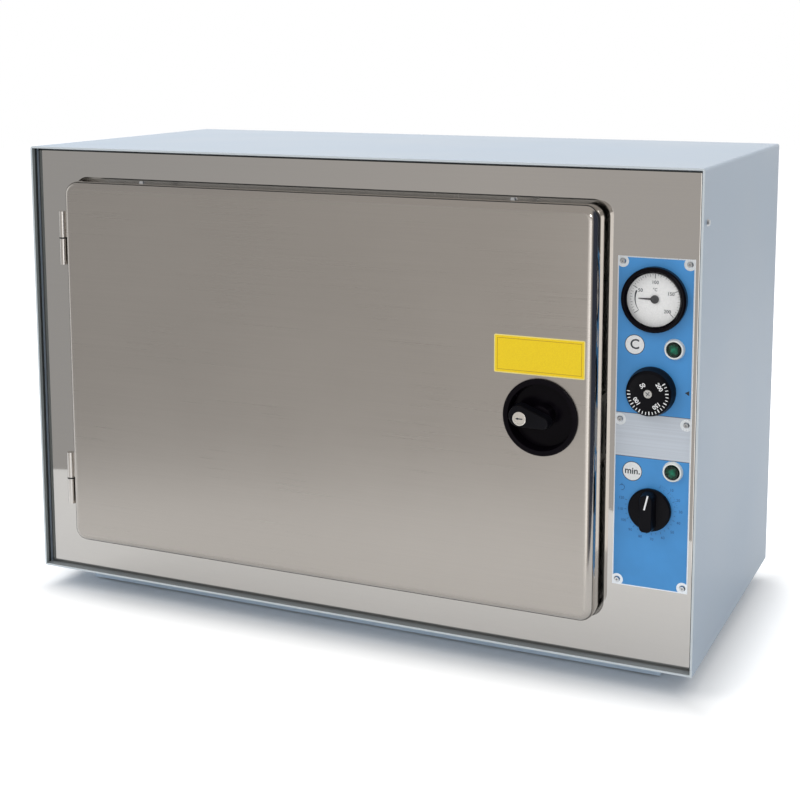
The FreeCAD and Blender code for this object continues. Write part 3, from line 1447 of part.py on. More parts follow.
def make_thermometer():
    """Capillary dial thermometer: case, bezel, dial, pointer and glass."""
    case = new_body("thermometer_case", gauge_x, foil_y, gauge_z)
    wall = s.gauge_case_wall
    outer = s.gauge_case_radius
    room = outer - wall
    deep = s.gauge_case_depth
    outlet = s.capillary_radius + s.running_gap
    turn_profile(case, [(0, outer), (deep, outer), (deep, outlet), (deep - wall, outlet),
                        (deep - wall, room), (0, room)])
    finished(case, "thermometer_case")

    glass_front = s.gauge_lip - s.gauge_bezel
    glass_back = glass_front + s.gauge_glass
    bezel = new_body("thermometer_bezel", gauge_x, foil_y, gauge_z)
    turn_profile(bezel, [
        (0, room), (0, s.gauge_radius), (-s.gauge_bezel, s.gauge_radius),
        (-s.gauge_bezel, s.gauge_window + s.gauge_slope), (glass_front, s.gauge_window),
        (glass_front, room - s.gauge_seat), (glass_back, room - s.gauge_seat), (glass_back, room),
    ])
    round_edges(bezel, s.gauge_round, circles_at("y", -s.gauge_bezel, s.gauge_radius))
    finished(bezel, "thermometer_bezel")

    dial = new_body("thermometer_dial", gauge_x, foil_y, gauge_z)
    arbor = s.gauge_arbor + s.running_gap
    turn_profile(dial, [(0, arbor), (0, room), (s.gauge_dial, room), (s.gauge_dial, arbor)])
    finished(dial, "thermometer_dial")

    glass = new_body("thermometer_glass", gauge_x, foil_y, gauge_z)
    rim = room - s.gauge_seat
    turn_profile(glass, [(glass_front, 0), (glass_front, rim), (glass_back, rim), (glass_back, 0)])
    finished(glass, "thermometer_glass")

    pointer = new_body("thermometer_pointer", gauge_x, foil_y, gauge_z)
    lift = -s.needle_gap
    crown = lift - s.gauge_hub_height
    stem = s.gauge_dial + s.needle_stem
    turn_profile(pointer, [
        (stem, 0), (stem, s.gauge_arbor), (lift, s.gauge_arbor), (lift, s.gauge_hub),
        (crown, s.gauge_hub), (crown - s.gauge_hub_dome, s.gauge_hub_top), (crown - s.gauge_hub_dome, 0),
    ])
    blade = new_sketch(pointer, "XZ_Plane", lift - s.needle_thick)
    outline(blade, [(0, -s.needle_width), (0, s.needle_width), (-s.needle_reach, s.needle_tip),
                    (-s.needle_reach, -s.needle_tip)])
    pad(pointer, blade, s.needle_thick)
    finished(pointer, "thermometer_pointer")


def make_thermostat():
    """Thermostat: body behind the panel, spindle, nut and a round knob with a screwed centre."""
    bore = s.spindle_radius + s.running_gap
    sink = s.spindle_sink + s.spindle_end_gap
    bush = -bush_run
    deep = s.stat_body_depth
    body = new_body("thermostat_body", stat_x, panel_back, stat_z)
    turn_profile(body, [
        (bush, bore), (bush, s.bush_radius), (0, s.bush_radius), (0, s.stat_body_radius),
        (s.stat_body_step, s.stat_body_radius), (s.stat_body_step, s.stat_neck_radius),
        (deep, s.stat_neck_radius), (deep, 0), (sink, 0), (sink, bore),
    ])
    finished(body, "thermostat_body")
    height = s.stat_knob_height + s.bush_reach
    spindle = cylinder("thermostat_rod", s.spindle_radius, sink_run + s.stat_knob_height - s.stat_cap_well,
                       stat_x, panel_back + s.spindle_sink, stat_z, "-y")
    finished(spindle, "thermostat_spindle")

    knob = new_body("thermostat_knob", stat_x, foil_y - s.knob_gap, stat_z)
    front = -height
    dip = front + s.stat_knob_dip
    well = front + s.stat_cap_well
    turn_profile(knob, [
        (0, s.stat_knob_radius), (-s.stat_knob_foot, s.stat_knob_radius),
        (front + s.stat_knob_edge, s.stat_knob_top), (front, s.stat_knob_top - s.stat_knob_edge),
        (dip, s.stat_knob_ring), (dip, s.stat_cap_radius), (well, s.stat_cap_radius),
        (well, s.spindle_radius), (-s.bush_reach, s.spindle_radius), (-s.bush_reach, s.nut_room),
        (0, s.nut_room),
    ])
    round_edges(knob, s.stat_knob_round, circles_at("y", front, s.stat_knob_top - s.stat_knob_edge))
    finished(knob, "thermostat_knob")
    cap_y = foil_y - s.knob_gap + well
    cap = cone("stat_cap_head", s.stat_cap_radius, s.stat_cap_top, s.stat_cap_well,
               stat_x, cap_y, stat_z, "-y")
    finished(cap, "thermostat_knob_screw")


def make_timer():
    """Clockwork timer: square body behind the panel, spindle, nut and a bar knob on a round skirt."""
    bore = s.spindle_radius + s.running_gap
    bush = -bush_run
    body = new_body("timer_body", timer_x, panel_back, timer_z)
    half = s.timer_body_width / 2
    shell = new_sketch(body, "XZ_Plane")
    rounded_outline(shell, -half, half, -half, half, s.timer_body_corner)
    pad(body, shell, s.timer_body_depth)
    collar = new_sketch(body, "XZ_Plane", bush)
    ring_outline(collar, 0, 0, s.bush_radius)
    pad(body, collar, bush_run)
    hole = new_sketch(body, "XZ_Plane", bush)
    ring_outline(hole, 0, 0, bore)
    pocket(body, hole, s.spindle_sink + s.spindle_end_gap + bush_run)
    finished(body, "timer_body")
    reach = sink_run + s.timer_grip_height - s.timer_cap - s.bush_reach
    spindle = cylinder("timer_rod", s.spindle_radius, reach, timer_x, panel_back + s.spindle_sink,
                       timer_z, "-y")
    finished(spindle, "timer_spindle")

    grip = new_body("timer_knob", timer_x, foil_y - s.knob_gap, timer_z)
    disc = s.timer_skirt_radius
    rim = s.timer_skirt_round
    turn_profile(grip, [
        (0, disc), (rim - s.timer_skirt, disc), (-s.timer_skirt, disc - rim), (-s.timer_skirt - rim, 0),
        (-s.bush_reach, 0), (-s.bush_reach, s.nut_room), (0, s.nut_room),
    ])
    wing = new_sketch(grip, "XZ_Plane", -s.timer_skirt)
    half = s.timer_grip_width / 2
    rounded_outline(wing, -half, half, s.timer_grip_inset - disc, disc - s.timer_grip_inset,
                    s.timer_grip_corner)
    wing_pad = pad(grip, wing, s.timer_grip_height - s.timer_skirt, forward=False)
    bind(wing_pad, "TaperAngle", -s.timer_grip_draft)
    document.recompute()
    round_edges(grip, s.timer_grip_round, lies_at("y", -s.timer_grip_height))
    shaft = new_sketch(grip, "XZ_Plane")
    ring_outline(shaft, 0, 0, s.spindle_radius)
    pocket(grip, shaft, s.timer_grip_height - s.timer_cap, forward=False)
    finished(grip, "timer_knob")


def make_nuts():
    """Hexagon nuts that hold the thermostat and the timer to the control plate."""
    nuts = []
    for label, x, rise in (("thermostat", stat_x, stat_z), ("timer", timer_x, timer_z)):
        blank = hexagon(label + "_nut_blank", s.nut_width, s.nut_thick, x, foil_y, rise, "-y")
        hole = cylinder(label + "_nut_hole", s.bush_radius, s.nut_thick, x, foil_y, rise, "-y")
        nuts.append(cut(label + "_nut", blank, [hole]))
    finished(group("nut_group", nuts), "spindle_nuts")


def make_lamps():
    """Two neon lamps: body, bright bezel and green lens."""
    bezels = []
    lenses = []
    bodies = []
    for n, (x, rise) in enumerate(lamp_places()):
        rim = cone("lamp_rim_%d" % n, s.lamp_radius, s.lamp_rim_top, s.lamp_bezel, x, foil_y, rise, "-y")
        hole = cylinder("lamp_rim_hole_%d" % n, s.lamp_lens_radius, s.lamp_bezel, x, foil_y, rise, "-y")
        bezels.append(cut("lamp_bezel_%d" % n, rim, [hole]))
        lenses.append(cone("lamp_lens_%d" % n, s.lamp_lens_radius, s.lamp_lens_top, s.lamp_lens,
                           x, foil_y, rise, "-y"))
        bodies.append(cylinder("lamp_body_%d" % n, s.lamp_body_radius, s.lamp_body_depth,
                               x, foil_y, rise, "+y"))
    finished(group("bezel_group", bezels), "lamp_bezels")
    finished(group("lens_group", lenses), "lamp_lenses")
    finished(group("lamp_group", bodies), "lamp_bodies")


def make_rear_fittings():
    """Cable gland with its cap, and the terminal block inside."""
    x = plate_x
    rise = s.gland_rise
    inner_end = s.case_depth - s.gland_tail
    flange = hexagon("gland_flange", s.gland_hex, s.gland_hex_thick, x, s.case_depth, rise, "+y")
    stem = cylinder("gland_stem", s.gland_radius, s.gland_tail, x, inner_end, rise, "+y")
    bore = cylinder("gland_bore", s.gland_bore, s.gland_tail + s.gland_hex_thick, x, inner_end, rise, "+y")
    finished(cut("gland_turned", fuse("gland_joined", [flange, stem]), [bore]), "cable_gland")
    dome = new_body("gland_cap", x, s.case_depth + s.gland_hex_thick, rise)
    shoulder = s.gland_cap_shoulder
    turn_profile(dome, [
        (0, s.gland_bore), (0, s.gland_cap_radius), (shoulder, s.gland_cap_radius),
        (s.gland_cap, s.gland_nose_radius), (s.gland_cap, s.gland_bore),
    ])
    round_edges(dome, s.gland_cap_round, circles_at("y", shoulder, s.gland_cap_radius))
    finished(dome, "gland_cap")
    left = wool_right + s.partition_sheet
    near = s.case_depth - s.terminal_back
    block = box("terminal_blank", s.terminal_depth, s.terminal_width, s.terminal_height,
                left, near, s.terminal_rise)
    pitch = s.terminal_height / s.terminal_ways
    grooves = [box("terminal_groove_%d" % n, s.terminal_groove_depth, s.terminal_width, s.terminal_groove,
                   left + s.terminal_depth - s.terminal_groove_depth, near,
                   s.terminal_rise + pitch * (n + 1) - s.terminal_groove / 2)
               for n in range(int(SIZES["terminal_ways"]) - 1)]
    finished(cut("terminal_cut", block, grooves), "terminal_block")


def write_pieces():
    """Check every object, then write each piece to its own file."""
    document.recompute()
    for thing in document.Objects:
        bad = [state for state in thing.State if state in ("Invalid", "Error")]
        if bad:
            raise RuntimeError("%s is %s" % (thing.Label, bad))
    for piece in pieces:
        if piece.Shape.isNull() or not piece.Shape.isValid():
            raise RuntimeError("%s has no valid shape" % piece.Label)
        wanted = len(piece.Links) if piece.isDerivedFrom("Part::Compound") else 1
        if len(piece.Shape.Solids) != wanted:
            raise RuntimeError("%s has %d solids" % (piece.Label, len(piece.Shape.Solids)))
    os.makedirs("parts", exist_ok=True)
    for piece in pieces:
        piece.Shape.exportStep("parts/%s.step" % piece.Label)
        print("%-24s %2d solids %12.1f mm3" % (piece.Label, len(piece.Shape.Solids), piece.Shape.Volume))
    print(len(pieces), "pieces")


make_casing()
make_base_pan()
make_plinth()
make_rear_panel()
make_front_panel()
make_door()
make_door_wool()
make_hinges()
make_lock()
make_chamber()
make_insulation()
make_racks()
make_heater()
make_sensors()
make_control_plate()
make_thermometer()
make_thermostat()
make_timer()
make_nuts()
make_lamps()
make_rear_fittings()
write_pieces()
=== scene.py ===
"""Looks of a bench-top hot air sterilizer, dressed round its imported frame."""

import json
import logging
import math
from abc import ABC, abstractmethod
from dataclasses import dataclass
from enum import Enum
from typing import Iterable, Optional, Union

import bmesh
import bpy
from mathutils import Matrix, Vector


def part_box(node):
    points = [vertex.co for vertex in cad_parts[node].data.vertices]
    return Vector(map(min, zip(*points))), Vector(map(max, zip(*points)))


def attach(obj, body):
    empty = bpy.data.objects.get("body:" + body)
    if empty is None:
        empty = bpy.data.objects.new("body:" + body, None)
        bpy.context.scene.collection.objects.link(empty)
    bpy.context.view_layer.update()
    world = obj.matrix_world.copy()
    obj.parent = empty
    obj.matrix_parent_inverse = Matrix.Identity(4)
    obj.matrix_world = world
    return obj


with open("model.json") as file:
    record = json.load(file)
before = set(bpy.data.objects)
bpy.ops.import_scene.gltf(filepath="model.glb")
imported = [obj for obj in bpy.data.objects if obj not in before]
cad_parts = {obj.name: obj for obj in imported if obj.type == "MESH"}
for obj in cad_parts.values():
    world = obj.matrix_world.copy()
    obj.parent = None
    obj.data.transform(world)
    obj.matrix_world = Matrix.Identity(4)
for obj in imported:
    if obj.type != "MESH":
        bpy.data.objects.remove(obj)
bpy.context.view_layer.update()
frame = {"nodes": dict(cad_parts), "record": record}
CASING_LOW, CASING_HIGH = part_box("casing_wrap")
DOOR_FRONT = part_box("door_outer_shell")[0].y
LOG = logging.getLogger("sterilizer")
MM = 0.001
# Half the thickness of a printed mark and the distance within which points are joined, in metres.
INK = 0.00006
WELD = 1e-7
# How far one print lies in front of another, in millimetres.
LAYER = 0.05
TURN_UP = Matrix.Rotation(math.radians(90), 4, "X")

Colour = tuple[float, float, float]
Place = tuple[float, float, float]
Socket = bpy.types.NodeSocket
Value = Union[Socket, float]
Tint = Union[Socket, Colour]
WHITE: Colour = (1.0, 1.0, 1.0)


class Grain(Enum):
    """Which way the polishing marks of a metal sheet run, in cycles per metre along each axis."""

    ALONG_X = (6.0, 900.0, 1500.0)
    ALONG_Z = (1500.0, 900.0, 6.0)
    NONE = (60.0, 60.0, 60.0)


def shade(colour: Colour, factor: float) -> Colour:
    """Darken or lighten a colour."""
    return tuple(min(1.0, part * factor) for part in colour)


class Wires:
    """A node tree, wired through a few short calls."""

    COLOUR_INPUTS = (6, 7)
    COLOUR_RESULT = 2

    def __init__(self, tree: bpy.types.NodeTree) -> None:
        """Start with the tree emptied."""
        self.tree = tree
        self.tree.nodes.clear()

    def add(self, kind: str) -> bpy.types.Node:
        """Add a node of one kind."""
        return self.tree.nodes.new(kind)

    def join(self, start: Socket, end: Socket) -> None:
        """Link an output to an input."""
        self.tree.links.new(start, end)

    def feed(self, end: Socket, value: Union[Value, Tint]) -> None:
        """Link an input, or set it to a number or a colour.

        Args:
            end: the input.
            value: what goes into it.
        """
        if isinstance(value, Socket):
            self.join(value, end)
        elif isinstance(value, tuple):
            end.default_value = (*value, 1.0)
        else:
            end.default_value = value

    def parts(self, vector: Socket) -> tuple[Socket, ...]:
        """Split a vector.

        Args:
            vector: what is split.

        Returns:
            Its X, Y and Z.
        """
        node = self.add("ShaderNodeSeparateXYZ")
        self.join(vector, node.inputs["Vector"])
        return tuple(node.outputs)

    def between(self, value: Socket, low: float, high: float, start: float = 0.3, end: float = 0.7) -> Socket:
        """Stretch a value onto a range.

        Args:
            value: what comes in.
            low: the result at start.
            high: the result at end.
            start: where the range starts.
            end: where the range ends.

        Returns:
            The stretched value.
        """
        node = self.add("ShaderNodeMapRange")
        for name, number in (("From Min", start), ("From Max", end), ("To Min", low), ("To Max", high)):
            node.inputs[name].default_value = number
        self.join(value, node.inputs["Value"])
        return node.outputs["Result"]

    def sum_of(self, kind: str, one: Value, two: Value = 0.0) -> Socket:
        """Combine two values by a Math node.

        Args:
            kind: what the node does with them.
            one: the first value.
            two: the second value, if the node uses it.

        Returns:
            The result.
        """
        node = self.add("ShaderNodeMath")
        node.operation = kind
        for end, value in zip(node.inputs, (one, two)):
            self.feed(end, value)
        return node.outputs["Value"]

    def mixed(self, share: Socket, one: Tint, two: Tint) -> Socket:
        """Mix two colours, each a socket or a plain colour.

        Args:
            share: how much of the second colour there is.
            one: the first colour.
            two: the second colour.

        Returns:
            The mixed colour.
        """
        node = self.add("ShaderNodeMix")
        node.data_type = "RGBA"
        self.join(share, node.inputs[0])
        for index, colour in zip(self.COLOUR_INPUTS, (one, two)):
            self.feed(node.inputs[index], colour)
        return node.outputs[self.COLOUR_RESULT]


class Graph(Wires):
    """The shader nodes of one material."""

    def __init__(self, name: str) -> None:
        """Start a material with a Principled shader.

        Args:
            name: the material's name.
        """
        self.material = bpy.data.materials.new(name)
        self.material.use_nodes = True
        super().__init__(self.material.node_tree)
        out = self.add("ShaderNodeOutputMaterial")
        self.shader = self.add("ShaderNodeBsdfPrincipled")
        self.join(self.shader.outputs["BSDF"], out.inputs["Surface"])
        self.place = self.add("ShaderNodeTexCoord").outputs["Object"]

    def fix(self, **values: float) -> None:
        """Set constant values on the shader's own sockets, spaces written as underscores."""
        for name, value in values.items():
            self.shader.inputs[name.replace("_", " ")].default_value = value

    def drive(self, **values: Socket) -> None:
        """Link values to the shader's own sockets, spaces written as underscores."""
        for name, value in values.items():
            self.join(value, self.shader.inputs[name.replace("_", " ")])

    def moved(self, scale: Place, shift: Place = (0, 0, 0)) -> Socket:
        """Object coordinates, moved and stretched.

        Args:
            scale: cycles per metre along each axis.
            shift: what is added after scaling.

        Returns:
            The mapped vector.
        """
        node = self.add("ShaderNodeMapping")
        node.inputs["Scale"].default_value = scale
        node.inputs["Location"].default_value = shift
        self.join(self.place, node.inputs["Vector"])
        return node.outputs["Vector"]

    def noise(self, scale: Place, detail: float = 3.0) -> Socket:
        """Noise with its own scale along each axis.

        Args:
            scale: cycles per metre along each axis.
            detail: how many finer layers it has.

        Returns:
            The noise, from 0 to 1.
        """
        node = self.add("ShaderNodeTexNoise")
        node.inputs["Scale"].default_value = 1.0
        node.inputs["Detail"].default_value = detail
        self.join(self.moved(scale), node.inputs["Vector"])
        return node.outputs["Fac"]

    def cells(self, per_metre: float) -> Socket:
        """Random cells.

        Args:
            per_metre: how many there are to a metre.

        Returns:
            The distance from each cell's own point.
        """
        node = self.add("ShaderNodeTexVoronoi")
        node.inputs["Scale"].default_value = 1.0
        self.join(self.moved((per_metre,) * 3), node.inputs["Vector"])
        return node.outputs["Distance"]

    def ramp(self, value: Socket, first: tuple[float, Colour], last: tuple[float, Colour]) -> Socket:
        """Turn a value into colours by a ramp with two stops.

        Args:
            value: what comes in.
            first: the lower stop's place and colour.
            last: the upper stop's place and colour.

        Returns:
            The colour.
        """
        node = self.add("ShaderNodeValToRGB")
        for stop, (place, colour) in zip(node.color_ramp.elements, (first, last)):
            stop.position = place
            stop.color = (*colour, 1.0)
        self.join(value, node.inputs["Fac"])
        return node.outputs["Color"]

    def varied(self, value: Socket, colour: Colour, dark: float, pale: float, start: float = 0.35,
               end: float = 0.65) -> Socket:
        """Vary a colour between a darker and a paler tone of it.

        Args:
            value: what it varies with.
            colour: the colour.
            dark: the darker tone's share of the colour.
            pale: the paler tone's share of the colour.
            start: the value that gives the darker tone.
            end: the value that gives the paler tone.

        Returns:
            The varied colour.
        """
        return self.ramp(value, (start, shade(colour, dark)), (end, shade(colour, pale)))

    def bump(self, heights: Iterable[tuple[Socket, float]]) -> None:
        """Raise the surface by one or more heights.

        Args:
            heights: pairs of a value and how far it raises the surface, in metres.
        """
        last = None
        for value, depth in heights:
            node = self.add("ShaderNodeBump")
            node.inputs["Strength"].default_value = 1.0
            node.inputs["Distance"].default_value = depth
            self.join(value, node.inputs["Height"])
            if last:
                self.join(last, node.inputs["Normal"])
            last = node.outputs["Normal"]
        self.join(last, self.shader.inputs["Normal"])


class Finish(ABC):
    """What a surface is made of."""

    @abstractmethod
    def wire(self, g: Graph) -> None:
        """Wire the finish's own nodes into a material's graph."""

    def made(self, name: str) -> bpy.types.Material:
        """Make the finish as a material.

        Args:
            name: the material's name.

        Returns:
            The new material.
        """
        g = Graph(name)
        self.wire(g)
        return g.material


@dataclass(frozen=True)
class Paint(Finish):
    """Stoved paint on steel, with a slight orange peel."""

    colour: Colour
    roughness: float = 0.34
    peel: float = 0.000012
    per_metre: float = 420.0

    def wire(self, g: Graph) -> None:
        """Wire a cloudy colour under a fine peel.

        Args:
            g: the material's graph.
        """
        cloud = g.noise((5, 5, 5), 4)
        g.drive(Base_Color=g.varied(cloud, self.colour, 0.96, 1.03),
                Roughness=g.between(cloud, self.roughness - 0.04, self.roughness + 0.05))
        g.bump([(g.noise((self.per_metre,) * 3, 2), self.peel)])
        g.fix(Specular_IOR_Level=0.5, Coat_Weight=0.12, Coat_Roughness=0.12)


@dataclass(frozen=True)
class CasingPaint(Finish):
    """The casing's paint, with a painted highlight on its front edges and painted shade inside round the
    front panel.

    The painted shade is lighter on the hem of the side walls, towards the front. Places are in metres, from
    the casing's own box.
    """

    colour: Colour
    # Painted shade: the inside colour stands for the shade in the recess round the front panel.
    inside: Colour = (0.022, 0.027, 0.03)
    # Painted highlight: the pale colour of the front edges.
    rim: Colour = (0.62, 0.68, 0.72)
    # A lighter painted shade on the hem, towards the front.
    hem: Colour = (0.26, 0.30, 0.31)
    half_width: float = CASING_HIGH.x - 0.00115
    low: float = CASING_LOW.z + 0.0009
    high: float = CASING_HIGH.z - 0.00115
    front: float = CASING_LOW.y + 0.0001
    hem_side: float = CASING_HIGH.x - 0.0021
    hem_depth: float = CASING_LOW.y + 0.00425

    def wire(self, g: Graph) -> None:
        """Wire the skin, the painted shade inside, its lighter part on the hem and the painted highlight on
        the front edges.

        Args:
            g: the material's graph.
        """
        x, y, z = g.parts(g.place)
        aside = g.sum_of("ABSOLUTE", x)
        level = g.sum_of("MULTIPLY", g.sum_of("LESS_THAN", z, self.high),
                         g.sum_of("GREATER_THAN", z, self.low))
        # Where the painted shade of the inside goes.
        inner = g.sum_of("MULTIPLY", g.sum_of("LESS_THAN", aside, self.half_width), level)
        hemmed = g.sum_of("MULTIPLY", g.sum_of("GREATER_THAN", aside, self.hem_side),
                          g.sum_of("LESS_THAN", y, self.hem_depth))
        cloud = g.noise((5, 5, 5), 4)
        skin = g.varied(cloud, self.colour, 0.97, 1.03)
        # The inside gets the painted shade, which is lighter on the hem.
        skin_with_painted_shade = g.mixed(inner, skin, g.mixed(hemmed, self.inside, self.hem))
        # The front edges get the painted highlight.
        g.drive(Base_Color=g.mixed(g.sum_of("LESS_THAN", y, self.front), skin_with_painted_shade, self.rim),
                Roughness=g.between(cloud, 0.3, 0.4))
        g.bump([(g.noise((420, 420, 420), 2), 0.00001)])
        g.fix(Specular_IOR_Level=0.4, Coat_Weight=0.1, Coat_Roughness=0.12)


@dataclass(frozen=True)
class Steel(Finish):
    """Bare or plated metal with polishing marks and faint smudges.

    Where edge gives a plane y in metres, what lies behind it is smoother and so brighter.
    """

    colour: Colour
    smooth: float = 0.2
    rough: float = 0.3
    grain: Grain = Grain.NONE
    depth: float = 0.000004
    wave: float = 0.0
    streak: float = 0.05
    edge: Optional[float] = None
    edge_share: float = 0.4
    edge_fade: float = 0.0006

    def wire(self, g: Graph) -> None:
        """Wire the marks, the smudges and the bright edges.

        Args:
            g: the material's graph.
        """
        lines = g.noise(self.grain.value, 2)
        cloud = g.noise((7, 7, 7), 5)
        tone = g.sum_of("ADD", g.sum_of("MULTIPLY", lines, 0.6), g.sum_of("MULTIPLY", cloud, 0.4))
        rough = g.between(tone, self.smooth, self.rough)
        if self.edge is not None:
            _x, y, _z = g.parts(g.place)
            behind = g.between(y, 1.0, self.edge_share, self.edge, self.edge + self.edge_fade)
            rough = g.sum_of("MULTIPLY", rough, behind)
        g.drive(Base_Color=g.varied(tone, self.colour, 1 - self.streak, 1 + self.streak, 0.36, 0.64),
                Roughness=rough)
        heights = [(lines, self.depth)]
        if self.wave:
            heights.append((g.noise((9, 9, 9), 1), self.wave))
        g.bump(heights)
        g.fix(Metallic=1.0)


@dataclass(frozen=True)
class Moulding(Finish):
    """Moulded plastic or rubber with a fine spark-eroded texture."""

    colour: Colour
    roughness: float = 0.42
    depth: float = 0.00001
    per_metre: float = 1600.0
    coat: float = 0.0
    shine: float = 0.5

    def wire(self, g: Graph) -> None:
        """Wire a cloudy colour and the fine texture.

        Args:
            g: the material's graph.
        """
        cloud = g.noise((30, 30, 30), 3)
        g.drive(Base_Color=g.varied(cloud, self.colour, 0.88, 1.14),
                Roughness=g.between(cloud, self.roughness - 0.05, self.roughness + 0.06))
        g.bump([(g.noise((self.per_metre,) * 3, 2), self.depth)])
        g.fix(Specular_IOR_Level=self.shine, Coat_Weight=self.coat, Coat_Roughness=0.08)


@dataclass(frozen=True)
class Spangle(Finish):
    """Zinc-coated sheet with its crystal flowers."""

    colour: Colour
    per_metre: float = 85.0

    def wire(self, g: Graph) -> None:
        """Wire the flowers.

        Args:
            g: the material's graph.
        """
        flowers = g.cells(self.per_metre)
        g.drive(Base_Color=g.varied(flowers, self.colour, 0.8, 1.12, 0.1, 0.7),
                Roughness=g.between(flowers, 0.36, 0.52, 0.1, 0.8))
        g.bump([(g.noise((300, 300, 300), 2), 0.00001)])
        g.fix(Metallic=0.9)


@dataclass(frozen=True)
class Wool(Finish):
    """Pressed mineral wool with loose fibres."""

    colour: Colour

    def wire(self, g: Graph) -> None:
        """Wire the fibres and the clumps.

        Args:
            g: the material's graph.
        """
        along = g.sum_of("MULTIPLY", g.noise((60, 1500, 900), 4), 0.5)
        across = g.sum_of("MULTIPLY", g.noise((1400, 70, 700), 4), 0.5)
        fibres = g.sum_of("ADD", along, across)
        g.drive(Base_Color=g.varied(fibres, self.colour, 0.6, 1.2, 0.36, 0.62))
        g.bump([(fibres, 0.0006), (g.noise((70, 70, 70), 4), 0.003)])
        g.fix(Roughness=0.95, Specular_IOR_Level=0.1)


@dataclass(frozen=True)
class Print(Finish):
    """Screen-printed ink or vinyl film."""

    colour: Colour
    roughness: float = 0.45

    def wire(self, g: Graph) -> None:
        """Wire the ink's fine unevenness.

        Args:
            g: the material's graph.
        """
        fine = g.noise((900, 900, 900), 2)
        g.drive(Base_Color=g.varied(fine, self.colour, 0.93, 1.04, 0.3, 0.7))
        g.bump([(fine, 0.000004)])
        g.fix(Roughness=self.roughness, Specular_IOR_Level=0.4)


@dataclass(frozen=True)
class ControlFoil(Finish):
    """Blue printed film with a bare metal band between two thin lines, heights in metres."""

    blue: Colour
    band: Colour
    line: Colour
    band_low: float
    band_high: float
    line_width: float = 0.00055
    band_metal: float = 0.35

    def wire(self, g: Graph) -> None:
        """Wire the blue film, the band and its lines.

        Args:
            g: the material's graph.
        """
        _x, _y, z = g.parts(g.place)
        half = (self.band_high - self.band_low) / 2
        away = g.sum_of("ABSOLUTE", g.sum_of("SUBTRACT", z, self.band_low + half))
        inside = g.sum_of("LESS_THAN", away, half)
        from_line = g.sum_of("ABSOLUTE", g.sum_of("SUBTRACT", away, half))
        lined = g.sum_of("LESS_THAN", from_line, self.line_width / 2)
        blues = g.varied(g.noise((25, 25, 25), 3), self.blue, 0.95, 1.05)
        bare = g.varied(g.noise(Grain.ALONG_X.value, 2), self.band, 0.93, 1.04, 0.3, 0.7)
        g.drive(Base_Color=g.mixed(lined, g.mixed(inside, blues, bare), self.line),
                Metallic=g.sum_of("MULTIPLY", inside, self.band_metal))
        g.bump([(g.noise((700, 700, 700), 2), 0.000005)])
        g.fix(Roughness=0.36, Specular_IOR_Level=0.45)


@dataclass(frozen=True)
class LampLens(Finish):
    """Clear green lens with painted light in the middle, and moulded prisms, places in metres."""

    rim: Colour
    core: Colour
    centres: tuple[tuple[float, float], ...]
    radius: float

    def wire(self, g: Graph) -> None:
        """Wire the painted light by the distance from the nearest lens's middle, and the prisms.

        Args:
            g: the material's graph.
        """
        nearest = None
        for x, z in self.centres:
            node = g.add("ShaderNodeVectorMath")
            node.operation = "LENGTH"
            g.join(g.moved((1, 0, 1), (-x, 0, -z)), node.inputs[0])
            far = node.outputs["Value"]
            nearest = g.sum_of("MINIMUM", nearest, far) if nearest else far
        prisms = g.cells(420.0)
        mottled = g.sum_of("ADD", g.between(nearest, 0.0, 1.0, 0.0, self.radius),
                           g.between(prisms, -0.28, 0.2, 0.0, 0.8))
        # Painted light: brighter towards each lens's middle.
        g.drive(Base_Color=g.ramp(mottled, (0.05, self.core), (0.75, self.rim)))
        g.bump([(prisms, 0.0004)])
        g.fix(Roughness=0.12, Coat_Weight=0.25, Coat_Roughness=0.05, IOR=1.33)


@dataclass(frozen=True)
class Glass(Finish):
    """Thin clear window glass."""

    tint: Colour = WHITE

    def wire(self, g: Graph) -> None:
        """Wire clear glass with a faint smear.

        Args:
            g: the material's graph.
        """
        smear = g.noise((40, 40, 40), 3)
        g.drive(Base_Color=g.varied(smear, self.tint, 0.985, 1.0, 0.3, 0.7),
                Roughness=g.between(smear, 0.0, 0.03))
        g.fix(Transmission_Weight=1.0, IOR=1.1, Alpha=0.08)


